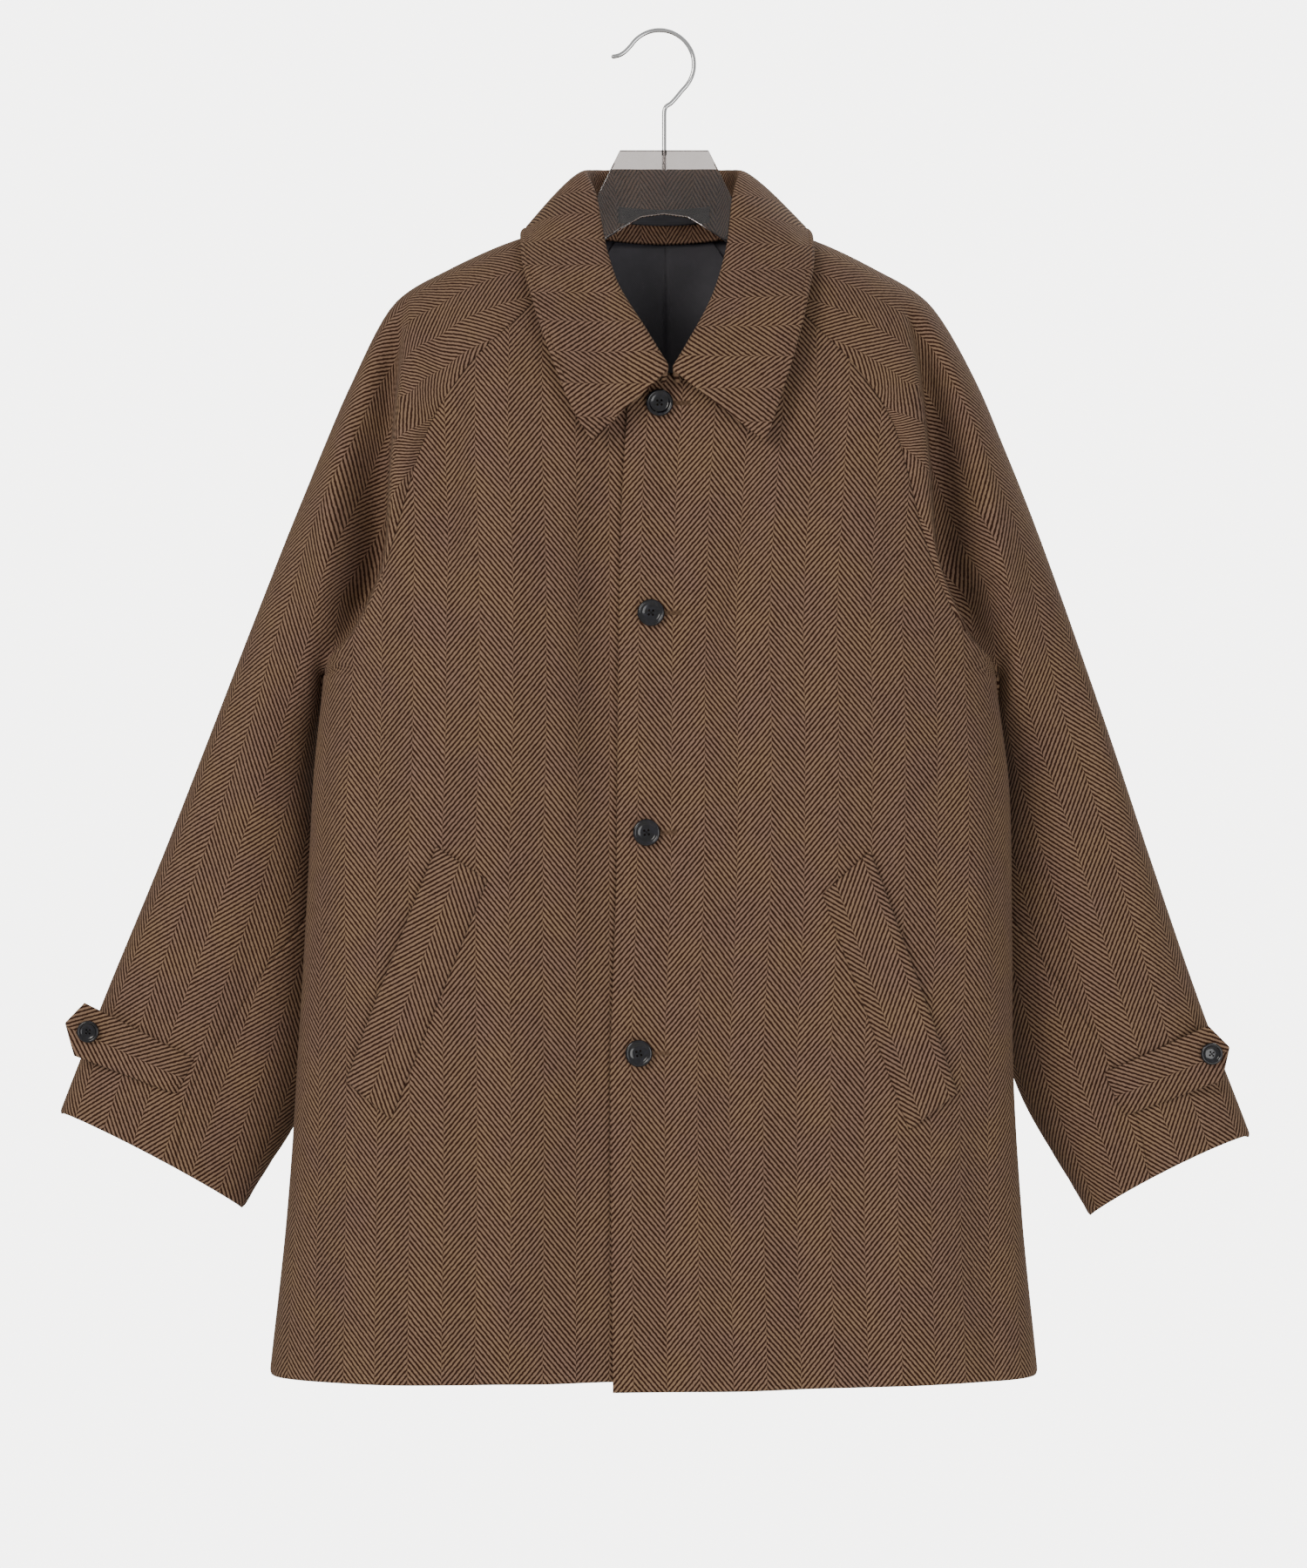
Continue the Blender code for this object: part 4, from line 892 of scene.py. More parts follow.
def herringbone(name):
    """The coat's cloth."""
    sheen = {"Sheen_Weight": 0.10, "Sheen_Roughness": 0.5, "Sheen_Tint": linear("#D8C2A8")}
    material, tree, shader = finish_of(name, Roughness=0.92, Specular_IOR_Level=0.25, **sheen)
    weave = node(tree, "UVMap", uv_map="weave")
    spot = node(tree, "TexCoord", out="Object")
    place = node(tree, "SeparateXYZ", {0: weave}, out=None)
    columns = node(tree, "Math", {0: place[0], 1: COLUMN}, operation="DIVIDE")
    zigzag = node(tree, "Math", {0: columns, 1: 1.0}, operation="PINGPONG")
    across = node(tree, "Math", {0: zigzag, 1: COLUMN / LINE_ACROSS}, operation="MULTIPLY")
    up = node(tree, "Math", {0: place[1], 1: LINE_UP}, operation="DIVIDE")
    which = node(tree, "Math", {0: columns}, operation="FLOOR")
    half_step = node(tree, "Math", {0: which, 1: 0.5}, operation="MULTIPLY")
    wobble = node(tree, "TexNoise", {"Vector": spot, "Scale": 420.0, "Detail": 2.0})
    phase = node(tree, "Math", {0: across, 1: up}, operation="ADD")
    phase = node(tree, "Math", {0: phase, 1: half_step}, operation="ADD")
    phase = node(tree, "Math", {0: wobble, 1: 0.42, 2: phase}, operation="MULTIPLY_ADD")
    wave = node(tree, "Math", {0: phase, 1: 0.5}, operation="PINGPONG")
    line = node(tree, "MapRange", {0: wave, 1: 0.15, 2: 0.33}, interpolation_type="SMOOTHSTEP")

    # Floats of single yarns, which break each line into short steps
    step = node(tree, "Math", {0: place[0], 1: 2 * math.pi / YARN}, operation="MULTIPLY")
    step = node(tree, "Math", {0: step}, operation="SINE")
    patch = node(tree, "TexNoise", {"Vector": spot, "Scale": 28.0, "Detail": 3.0})
    fluff = node(tree, "TexNoise", {"Vector": spot, "Scale": 1500.0, "Detail": 2.0})

    tan = node(tree, "MapRange", {0: patch, 1: 0.35, 2: 0.65})
    tan = node(tree, "MixRGB", {0: tan, 1: linear("#91765D"), 2: linear("#8C705F")})
    brown = node(tree, "MapRange", {0: patch, 1: 0.3, 2: 0.7})
    brown = node(tree, "MixRGB", {0: brown, 1: linear("#351B0E"), 2: linear("#2F180C")})
    cloth = node(tree, "MixRGB", {0: line, 1: brown, 2: tan})
    shade = node(tree, "MapRange", {0: fluff, 1: 0.25, 2: 0.75, 3: 0.73, 4: 1.27})
    shade = node(tree, "Math", {0: step, 1: 0.07, 2: shade}, operation="MULTIPLY_ADD")
    # Painted sheen: every other column is painted 5 % lighter, standing in for the light that twill lines leaning
    # the other way catch
    lean = node(tree, "Math", {0: which, 1: 2.0}, operation="FLOORED_MODULO")
    shade = node(tree, "Math", {0: lean, 1: 0.05, 2: shade}, operation="MULTIPLY_ADD")
    cloth = node(tree, "VectorMath", {0: cloth, 1: shade}, operation="MULTIPLY")
    tree.links.new(cloth, shader.inputs["Base Color"])

    height = node(tree, "Math", {0: fluff, 1: 0.9, 2: line}, operation="MULTIPLY_ADD")
    height = node(tree, "Math", {0: step, 1: 0.15, 2: height}, operation="MULTIPLY_ADD")
    bump = node(tree, "Bump", {"Strength": 0.55, "Distance": 0.0004, "Height": height})
    tree.links.new(bump, shader.inputs["Normal"])
    return material


wool = herringbone("herringbone wool")
print(wool.name, "nodes:", len(wool.node_tree.nodes))

# %% [markdown]
# ### Lining, ribbon and thread
# The lining is a dark viscose satin: smooth, with a soft broad gleam and a fine rib. The label is a plain
# grosgrain ribbon, whose ribs run across it. The sewing thread is twisted, so it gets a fine slanted
# ripple. Real thread is 0.3 mm thick, which is about as fine as the picture can show.

# %% Satin, ribbon and thread


def ribbed(name, dark, light, rib, slant, rough, bump_depth, **sockets):
    """A woven finish with fine ribs across Object X and Z."""
    material, tree, shader = finish_of(name, **sockets)
    spot = node(tree, "TexCoord", out="Object")
    place = node(tree, "SeparateXYZ", {0: spot}, out=None)
    lean = node(tree, "Math", {0: place[0], 1: slant, 2: place[2]}, operation="MULTIPLY_ADD")
    wave = node(tree, "Math", {0: lean, 1: 2 * math.pi / rib}, operation="MULTIPLY")
    wave = node(tree, "Math", {0: wave}, operation="SINE")
    cloud = node(tree, "TexNoise", {"Vector": spot, "Scale": 55.0, "Detail": 4.0})
    tone = node(tree, "Math", {0: wave, 1: 0.22, 2: cloud}, operation="MULTIPLY_ADD")
    colour = node(tree, "MixRGB", {0: tone, 1: linear(dark), 2: linear(light)})
    tree.links.new(colour, shader.inputs["Base Color"])
    gleam = node(tree, "MapRange", {0: cloud, 3: rough - 0.07, 4: rough + 0.07})
    tree.links.new(gleam, shader.inputs["Roughness"])
    bump = node(tree, "Bump", {"Strength": 0.4, "Distance": bump_depth, "Height": tone})
    tree.links.new(bump, shader.inputs["Normal"])
    return material


satin = ribbed("viscose satin lining", "#2D2C33", "#49474F", 0.0011, 0.9, 0.48, 0.0002)
ribbon = ribbed("grosgrain label ribbon", "#17181D", "#2B2C34", 0.0014, 0.0, 0.6, 0.0003)
brown_thread = ribbed("brown sewing thread", "#4A3424", "#7A5C40", 0.0008, 1.0, 0.7, 0.0001)
black_thread = ribbed("black button thread", "#0B0B0E", "#1E1E24", 0.0008, 1.0, 0.6, 0.0001)
print("woven finishes:", satin.name, ribbon.name, brown_thread.name, black_thread.name)

# %% [markdown]
# ### Resin, acrylic, chrome and the floor
# The buttons are cast polyester resin, cut and tumbled to a gloss, with faint smoky swirls. The hanger is
# a cut sheet of smoke-tinted acrylic, so light goes through it and only its edges look dark. Its hook is
# chrome-plated wire with fine drawing marks along it. The floor is plain pale paint.

# %% Hard finishes


def mottled(name, noise, colours, tone=(0.0, 1.0), gloss=None, marks=(0.0, 1.0), **sockets):
    """A finish whose colour, and gloss if it is given, drift softly with one noise."""
    material, tree, shader = finish_of(name, **sockets)
    cloud = node(tree, "TexNoise", {"Vector": node(tree, "TexCoord", out="Object"), **noise})
    share = node(tree, "MapRange", {0: cloud, 1: tone[0], 2: tone[1]})
    colour = node(tree, "MixRGB", {0: share, 1: linear(colours[0]), 2: linear(colours[1])})
    tree.links.new(colour, shader.inputs["Base Color"])
    if gloss:
        rough = node(tree, "MapRange", {0: cloud, 1: marks[0], 2: marks[1], 3: gloss[0], 4: gloss[1]})
        tree.links.new(rough, shader.inputs["Roughness"])
    return material


button_resin = mottled(
    "tumbled button resin", {"Scale": 160.0, "Detail": 4.0, "Distortion": 1.6}, ("#09090D", "#1F1F29"),
    tone=(0.42, 0.72), gloss=(0.10, 0.20), IOR=1.54, Specular_IOR_Level=0.32, Coat_Weight=0.40, Coat_Roughness=0.04,
)
clear_sheet = mottled(
    "smoke-tinted clear acrylic", {"Scale": 90.0, "Detail": 5.0}, ("#9F9997", "#ADA7A5"),
    gloss=(0.02, 0.09), marks=(0.5, 0.8), IOR=1.49, Transmission_Weight=1.0,
)
chrome_wire = mottled(
    "chrome-plated wire", {"Scale": 240.0, "Detail": 3.0}, ("#C9CACC", "#E2E3E4"), gloss=(0.10, 0.16), Metallic=1.0
)
floor_paint = mottled("pale floor paint", {"Scale": 60.0, "Detail": 4.0}, ("#E6E4E1", "#EFEDEA"), Roughness=0.9)
print("hard finishes:", button_resin.name, clear_sheet.name, chrome_wire.name, floor_paint.name)

# %% [markdown]
# ## Making a sheet of cloth
# A sheet starts as Blender's grid primitive with the right number of rows and columns. Each vertex is put
# in its place on the panel, the weave map is written into the UV layer, and a Solidify modifier gives the
# cloth its thickness on the inside. Its inner faces can show the lining, with a band of the cloth itself
# turned in at the edge.

# %% Sheet maker
cut_list = {}
LEAST_FILL = 0.31


def add(primitive, name, **settings):
    """Add a primitive with nothing else selected, and name it."""
    bpy.ops.object.select_all(action="DESELECT")
    primitive(**settings)
    piece = bpy.context.object
    piece.name = piece.data.name = name
    return piece


def new_grid(name, points):
    """A grid primitive whose vertices are put at the points, row by row."""
    rows, columns = points.shape[:2]
    grid = bpy.ops.mesh.primitive_grid_add
    piece = add(grid, name, x_subdivisions=columns - 1, y_subdivisions=rows - 1, size=1.0)
    piece.data.vertices.foreach_set("co", np.ascontiguousarray(points, dtype=np.float32).reshape(-1))
    piece.data.update()
    return piece


def cloth_sheet(name, points, weave, facing, thickness, outer, inner=None, turned_in=None):
    """A sheet of cloth with its outer face at the points. turned_in marks inner points that show the cloth."""
    across, up = np.gradient(points, axis=1), np.gradient(points, axis=0)
    if np.sum(np.cross(across, up) * facing) < 0:
        points, weave = points[:, ::-1], weave[:, ::-1]
        turned_in = None if turned_in is None else turned_in[:, ::-1]
    piece = new_grid(name, points)
    mesh = piece.data
    corners = np.zeros(len(mesh.loops), dtype=np.int32)
    mesh.loops.foreach_get("vertex_index", corners)
    layer = mesh.uv_layers.active
    layer.name = "weave"
    layer.data.foreach_set("uv", np.ascontiguousarray(weave.reshape(-1, 2)[corners], dtype=np.float32).reshape(-1))
    mesh.materials.append(outer)
    mesh.materials.append(inner or outer)
    faces = len(mesh.polygons)
    wall = piece.modifiers.new("cloth thickness", "SOLIDIFY")
    wall.thickness = thickness
    wall.offset = -1.0
    wall.use_quality_normals = True
    wall.material_offset = 1
    bpy.ops.object.modifier_apply(modifier=wall.name)
    if turned_in is not None:
        shows = turned_in[:-1, :-1].reshape(-1)
        slots = np.zeros(len(mesh.polygons), dtype=np.int32)
        mesh.polygons.foreach_get("material_index", slots)
        slots[faces:2 * faces][shows] = 0
        mesh.polygons.foreach_set("material_index", slots)
    bpy.ops.object.shade_smooth()
    note_cut(name, weave)
    return piece


def note_cut(name, weave):
    """Keep the flat width, length and area of a sheet's cut, read off its weave map."""
    a = weave[1:, 1:] - weave[:-1, :-1]
    b = weave[1:, :-1] - weave[:-1, 1:]
    area = float(np.abs(a[..., 0] * b[..., 1] - a[..., 1] * b[..., 0]).sum() / 2)
    size = np.ptp(weave.reshape(-1, 2), axis=0)
    cut_list[name] = (float(size[0]), float(size[1]), area)


def stand_for(piece, node_name):
    """Parent a piece to the root body and hide the plain solid that it stands for."""
    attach(piece, "root")
    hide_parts(node_name)


def hang(piece, node_name):
    """Parent a sheet to the root body, hide the solid it stands for, and print its flat cut."""
    stand_for(piece, node_name)
    width, length, area = cut_list[piece.name]
    area = min(max(area, LEAST_FILL * width * length), width * length)
    print(f"{piece.name}: cut {width:.3f} x {length:.3f} m, {area:.4f} m2, {len(piece.data.polygons)} faces")


# %% [markdown]
# ## Fronts and back
# Each panel's open edges are turned in and pressed, so they round over. Its seams sink a little, because
# the cloth is folded back inside along them. The inside is lined, with a facing of the wool along the
# front edge and a turned-up hem.

# %% Fronts
SIDES = ((1, "left"), (-1, "right"))
WOOL_THICK = 0.0026
EDGE_SINK = 0.0012
SEAM_SINK = 0.0010
FACING_WIDE = 0.075
HEM_TURN = 0.040
WEAVE_START = {1: 0.0155, -1: 0.0075}
under = []


def wool_panel(name, points, weave, facing, sink, turned_in):
    """A lined panel of the coat. Its form is kept, so that the collar can be laid on it."""
    under.append((points.reshape(-1, 3), facing.reshape(-1, 3)))
    shown = points - facing * sink[..., None]
    piece = cloth_sheet(f"{name}_cloth", shown, weave, facing, WOOL_THICK, wool, satin, turned_in)
    hang(piece, name)


for side, who in SIDES:
    points, weave, starts, ends, low = front_panel(side)
    facing = normals_of(points, np.array([0.0, -1.0, 0.0]))
    sink = rolled(starts, EDGE_SINK) + rolled(ends, SEAM_SINK) + rolled(low, EDGE_SINK) + stitch_dent(starts)
    weave = weave - np.array([WEAVE_START[side], 0.0])
    wool_panel(f"front_{who}", points, weave, facing, sink, (starts < FACING_WIDE) | (low < HEM_TURN))

# %% Back
back_points, weave, starts, ends, low = back_panel()
back_facing = normals_of(back_points, np.array([0.0, 1.0, 0.0]))
sink = rolled(starts, SEAM_SINK) + rolled(ends, SEAM_SINK) + rolled(low, EDGE_SINK)
wool_panel("back", back_points, weave, back_facing, sink, low < HEM_TURN)

# %% [markdown]
# ## Sleeves
# Each sleeve has a front and a back piece. They meet along the crest, which runs on from the shoulder, and
# along the seam on the forearm where the tab is sewn in. The columns of the herringbone follow the crest.
# The cuff is turned in, so the wool shows a little way up inside it.

# %% Sleeve pieces
CREST_SINK = 0.0007
CUFF_TURN = 0.045
for side, who in SIDES:
    middle = (sleeves[side][0][0].mean(axis=1) + sleeves[side][1][0].mean(axis=1)) / 2
    for part, face in ((0, "front"), (1, "back")):
        points, weave, starts, ends, low = sleeves[side][part]
        facing = normals_of(points, points - middle[:, None])
        sink = rolled(starts, CREST_SINK) + rolled(ends, SEAM_SINK) + rolled(low, EDGE_SINK)
        wool_panel(f"sleeve_{who}_{face}", points, weave, facing, sink, low < CUFF_TURN)

# %% [markdown]
# ## Collar
# The collar is laid over the finished panels. Its edge is stitched like the fronts', but the band is
# thicker, so the stitches pull a deeper dent. They run along the leaf only.

# %% Collar
COLLAR_SINK = 0.0014
COLLAR_DENT = 0.0007
LEAF_START = 0.045
ground, ground_facing = [np.concatenate(parts) for parts in zip(*under)]
near = (ground[:, 2] > -0.36) & (np.abs(ground[:, 0]) < 0.16)
band, weave, starts, ends, tip = collar_band(ground[near], ground_facing[near])
facing = unit(np.cross(np.gradient(band, axis=1), np.gradient(band, axis=0)))
if facing[len(band) // 2, -1, 1] < 0:
    facing = -facing
dent = (stitch_dent(ends, depth=COLLAR_DENT) + stitch_dent(tip, depth=COLLAR_DENT)) * (starts > LEAF_START)
sink = rolled(ends, COLLAR_SINK) + rolled(tip, COLLAR_SINK) + dent
piece = cloth_sheet("collar_cloth", band - facing * sink[..., None], weave, facing, COLLAR_THICK, wool)
hang(piece, "collar")

# %% [markdown]
# ## Lining and label
# The back's lining hangs just inside it and shows in the neck. It has a small pleat down the middle, which
# gives the wearer room to move, and it isn't as flat as the wool. The label is a plain ribbon, sewn to the
# collar stand along its ends.

# %% Back lining
LINING_THICK = 0.0010
LINING_GAP = 0.0012
LINING_INSET = 14
PLEAT = 0.0012
RIPPLE = 0.0016
rows = np.where(back_points[:, 0, 2] > HEM_Z + HEM_TURN)[0]
inner_facing = back_facing[rows][:, LINING_INSET:-LINING_INSET]
inner = (back_points - back_facing * (WOOL_THICK + LINING_GAP))[rows][:, LINING_INSET:-LINING_INSET]
x, z = inner[..., 0], inner[..., 2]
pleat = PLEAT * ease((x - NECK_MIDDLE) / 0.003) * (1 - ease((x - NECK_MIDDLE) / 0.030))
soft = RIPPLE * (1 + np.sin(x / 0.021 + 1.1 + 2.0 * np.sin(z / 0.11)))
top = ease((-0.170 - z) / 0.05)
inner = inner - inner_facing * ((pleat + soft * top)[..., None])
weave = np.stack([x, z], axis=2)
piece = cloth_sheet("back_lining_satin", inner, weave, inner_facing, LINING_THICK, satin)
hang(piece, "back_lining")

# %% Neck label
LABEL_WIDTH = 0.070
LABEL_HEIGHT = 0.0125
LABEL_LIFT = 0.0140
LABEL_THICK = 0.0010
LABEL_GRID = (41, 12)
LAID_ON = 0.0007
middle = len(band) // 2
first, last = middle - 26, middle + 27
wide, tall = [np.linspace(0, 1, count) for count in LABEL_GRID]
strip, strip_facing = [], []
for x in (wide - 0.5) * LABEL_WIDTH + NECK_MIDDLE:
    at = np.interp(x, band[first:last, 0, 0], np.arange(first, last))
    i, blend = int(at), at - int(at)
    line = band[i] * (1 - blend) + band[i + 1] * blend
    out = facing[i] * (1 - blend) + facing[i + 1] * blend
    run = run_of(line)
    lifts = LABEL_LIFT + tall * LABEL_HEIGHT
    strip.append(points_at(line, run, lifts))
    strip_facing.append(unit(points_at(out, run, lifts)))
strip, strip_facing = np.array(strip), np.array(strip_facing)
strip = strip + strip_facing * (LAID_ON + LABEL_THICK)
weave = np.stack(np.meshgrid(wide * LABEL_WIDTH, tall * LABEL_HEIGHT, indexing="ij"), axis=2)
piece = cloth_sheet("neck_label_ribbon", strip, weave, strip_facing, LABEL_THICK, ribbon)
hang(piece, "neck_label")

# %% [markdown]
# ## Pocket welts and sleeve tabs
# A welt is a doubled strip over a slanted pocket. Its outer long edge is open, so it stands off the coat a
# little, and its other edges are sewn down. The tabs are pointed straps, sewn into the sleeve seam at one
# end and buttoned at the other, where they stand out past the sleeve. Both are cut along the cloth.

# %% Welts
Welt = namedtuple("Welt", "upper_outer upper_inner lower_inner lower_outer column")
WELTS = {
    "left": Welt((0.1567, -0.6266), (0.1211, -0.6592), (0.1857, -0.8352), (0.2222, -0.8085), 0.0577),
    "right": Welt((-0.1664, -0.6236), (-0.1283, -0.6487), (-0.2003, -0.8274), (-0.2342, -0.8000), 0.0294),
}
WELT_THICK = 0.0030
WELT_GAP = 0.0008
WELT_SINK = 0.0016
WELT_OPEN = 0.0030
WELT_OPEN_WIDE = 0.020
WELT_SEWN = 0.0018
WELT_SEWN_WIDE = 0.012


def front_normals(x, z):
    """Outward directions of the front's face."""
    y, step = front_y(x, z), 1e-4
    slope = np.stack([np.full(x.shape, step), front_y(x + step, z) - y, np.zeros(x.shape)], axis=-1)
    rise = np.stack([np.zeros(x.shape), front_y(x, z + step) - y, np.full(x.shape, step)], axis=-1)
    return unit(np.cross(slope, rise))


def between(corners, u, v):
    """Points between four corners: u from the outer to the inner edge, v from the top down."""
    a, b, c, d = [np.array(corner) for corner in corners]
    u, v = u[None, :, None], v[:, None, None]
    return (a * (1 - u) + b * u) * (1 - v) + (d * (1 - u) + c * u) * v


for who, welt in WELTS.items():
    wide = np.linalg.norm(np.subtract(welt.upper_outer, welt.upper_inner))
    long = np.linalg.norm(np.subtract(welt.upper_outer, welt.lower_outer))
    across, down = spread(wide, 40), spread(long, 90)
    flat = between(welt[:4], across / wide, down / long)
    x, z = flat[..., 0], flat[..., 1]
    facing = front_normals(x, z)
    u, v = np.meshgrid(across, down)
    nearest = np.minimum(np.minimum(u, wide - u), np.minimum(v, long - v))
    lift = LAID_ON + WELT_THICK - rolled(nearest, WELT_SINK) - stitch_dent(nearest)
    stands = WELT_OPEN * (1 - ease(u / WELT_OPEN_WIDE)) * np.sin(math.pi * v / long)
    lift += stands - rolled(wide - u, WELT_SEWN, WELT_SEWN_WIDE)
    points = np.stack([x, front_y(x, z), z], axis=2) + facing * lift[..., None]
    axis = unit(np.subtract(welt.upper_outer, welt.lower_outer))
    flat = flat - np.array(welt.upper_outer)
    weave = np.stack([flat @ np.array([axis[1], -axis[0]]) + welt.column, flat @ axis], axis=2)
    piece = cloth_sheet(f"pocket_welt_{who}_cloth", points, weave, facing, WELT_THICK - WELT_GAP, wool)
    hang(piece, f"pocket_welt_{who}")

# %% Tabs
Tab = namedtuple("Tab", "base_top base_low end_top end_low point")
TABS = {
    1: Tab((0.3400, -0.7977), (0.3546, -0.8310), (0.4193, -0.7617), (0.4300, -0.8037), 0.012),
    -1: Tab((-0.3554, -0.7870), (-0.3694, -0.8143), (-0.4400, -0.7443), (-0.4480, -0.7850), 0.012),
}
TAB_THICK = 0.0030
TAB_GAP = 0.0005
TAB_SINK = 0.0015
TAB_SEWN = 0.0036
TAB_SEWN_LONG = 0.012
TAB_FOLLOWS = 0.55
TAB_EVEN = 6
TAB_END = 20
tab_depth = {}
for side, who in SIDES:
    tab = TABS[side]
    face = np.concatenate([half_section(side, row, "front") for row in np.linspace(9.5, CUFF_ROW, 61)])
    base_top, base_low, end_top, end_low = [np.array(corner) for corner in tab[:4]]
    wide = np.linalg.norm(end_top - end_low)
    long = np.linalg.norm(end_top - base_top) + tab.point
    down, along = spread(wide, 40), spread(long, 80)
    points = np.zeros((len(down), len(along), 3))
    for i, v in enumerate(down / wide):
        start, end = base_top * (1 - v) + base_low * v, end_top * (1 - v) + end_low * v
        end = end + unit(end - start) * tab.point * (1 - abs(2 * v - 1))
        for j, u in enumerate(along / long):
            under = start + (end - start) * min(u, TAB_FOLLOWS)
            nearest = np.argmin((face[:, 0] - under[0]) ** 2 + (face[:, 2] - under[1]) ** 2)
            place = start + (end - start) * u
            points[i, j] = (place[0], face[nearest, 1], place[1])
    depth = points[..., 1].min(axis=0)
    depth = evened(depth, TAB_EVEN)
    points[..., 1] = np.minimum(depth, points[..., 1].min(axis=0))[None, :] - LAID_ON - TAB_THICK
    tab_depth[side] = float(points[..., 1][:, -TAB_END:].min())
    u, v = np.meshgrid(along, down)
    nearest = np.minimum(np.minimum(long - u, 0.02), np.minimum(v, wide - v))
    points[..., 1] += rolled(nearest, TAB_SINK) + stitch_dent(nearest, 0.0050) + rolled(u, TAB_SEWN, TAB_SEWN_LONG)
    facing = np.zeros_like(points)
    facing[..., 1] = -1.0
    axis = unit(end_top + end_low - base_top - base_low)
    flat = points[..., [0, 2]] - (end_top + end_low) / 2
    weave = np.stack([flat @ np.array([axis[1], -axis[0]]) - 0.002 * side, flat @ axis], axis=2)
    piece = cloth_sheet(f"sleeve_tab_{who}_cloth", points, weave, facing, TAB_THICK - TAB_GAP, wool)
    hang(piece, f"sleeve_tab_{who}")

# %% [markdown]
# ## Buttons
# The buttons are turned from resin: a raised rim, a dished middle and four holes. A disc is extruded and
# scaled in steps, as a lathe tool would cut the profile. The holes are cut with a Boolean. Two crossed
# bars of thread hold each one.

# %% One turned button
BUTTON_RISE = 0.0042
BUTTON_PROFILE = (
    (0.90, 0.10), (0.98, 0.34), (1.00, 0.55), (0.985, 0.76), (0.94, 0.92), (0.87, 1.00), (0.80, 0.98),
    (0.73, 0.86), (0.67, 0.72), (0.60, 0.65), (0.35, 0.62),
)
FOOT = 0.62
HOLE_REACH = 0.075
HOLE_RADIUS = 0.042
SMOOTH_ANGLE = math.radians(40)
disc = bpy.ops.mesh.primitive_circle_add


def pick(piece):
    """Select one piece alone and make it the active one."""
    bpy.ops.object.select_all(action="DESELECT")
    piece.select_set(True)
    bpy.context.view_layer.objects.active = piece


def face_out():
    """Turn the normals of the piece in edit mode outward, and leave edit mode."""
    bpy.ops.mesh.select_all(action="SELECT")
    bpy.ops.mesh.normals_make_consistent(inside=False)
    bpy.ops.object.mode_set(mode="OBJECT")


def polish(piece, angle, material):
    """Shade a piece smooth up to an angle, and give it its material."""
    pick(piece)
    bpy.ops.object.shade_smooth_by_angle(angle=angle)
    piece.data.materials.clear()
    piece.data.materials.append(material)


def drill(piece, place, radius, depth, sides):
    """Cut a round hole into a piece."""
    bpy.ops.mesh.primitive_cylinder_add(vertices=sides, radius=radius, depth=depth, location=place)
    bit = bpy.context.object
    hole = piece.modifiers.new("hole", "BOOLEAN")
    hole.operation, hole.object = "DIFFERENCE", bit
    bpy.context.view_layer.objects.active = piece
    bpy.ops.object.modifier_apply(modifier=hole.name)
    bpy.data.objects.remove(bit, do_unlink=True)


def turned_button(name, width):
    """A button that faces up at the origin."""
    radius, reach = width / 2, width * HOLE_REACH
    button = add(disc, name, vertices=56, radius=radius * FOOT, fill_type="NGON")
    bpy.ops.object.mode_set(mode="EDIT")
    bpy.ops.mesh.select_mode(type="FACE")
    bpy.ops.mesh.select_all(action="SELECT")
    share, height = FOOT, 0.0
    for wide, rise in BUTTON_PROFILE:
        move = {"value": (0, 0, (rise - height) * BUTTON_RISE)}
        bpy.ops.mesh.extrude_region_move(TRANSFORM_OT_translate=move)
        bpy.ops.transform.resize(value=(wide / share, wide / share, 1), center_override=(0, 0, 0))
        share, height = wide, rise
    face_out()
    for x, y in ((reach, reach), (-reach, reach), (-reach, -reach), (reach, -reach)):
        drill(button, (x, y, 0), width * HOLE_RADIUS, 0.02, 14)
    polish(button, SMOOTH_ANGLE, button_resin)
    return button


print("steps in a button's profile:", len(BUTTON_PROFILE))

# %% [markdown]
# ### Stitches
# Thread is repeated hundreds of times, so one plump stitch of 40 faces is modelled once. Each row of sewing
# is one mesh of copies of it, turned along the row and laid on the cloth.

# %% One stitch, and rows of it
stitch = add(bpy.ops.mesh.primitive_uv_sphere_add, "stitch", segments=8, ring_count=5, radius=0.5)
stitch_points = np.array([v.co for v in stitch.data.vertices])[:, [2, 0, 1]]
stitch_faces = [list(face.vertices) for face in stitch.data.polygons]
bpy.data.objects.remove(stitch, do_unlink=True)
print("faces in a stitch:", len(stitch_faces))


def sewing(name, places, runs, outs, long, thick, thread):
    """Stitches at the places, each along its run and lying on the side that faces out."""
    places, runs, outs = np.atleast_2d(places), unit(np.atleast_2d(runs)), unit(np.atleast_2d(outs))
    sides = unit(np.cross(outs, runs))
    local = stitch_points * np.array([long, thick, thick])
    points = (
        places[:, None]
        + local[None, :, 0:1] * runs[:, None]
        + local[None, :, 1:2] * sides[:, None]
        + local[None, :, 2:3] * outs[:, None]
    )
    faces = []
    for i in range(len(places)):
        faces += [[k + i * len(stitch_points) for k in face] for face in stitch_faces]
    mesh = bpy.data.meshes.new(name)
    mesh.from_pydata(points.reshape(-1, 3).tolist(), [], faces)
    mesh.materials.append(thread)
    row = bpy.data.objects.new(name, mesh)
    bpy.context.collection.objects.link(row)
    pick(row)
    bpy.ops.object.mode_set(mode="EDIT")
    face_out()
    bpy.ops.object.shade_smooth()
    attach(row, "root")


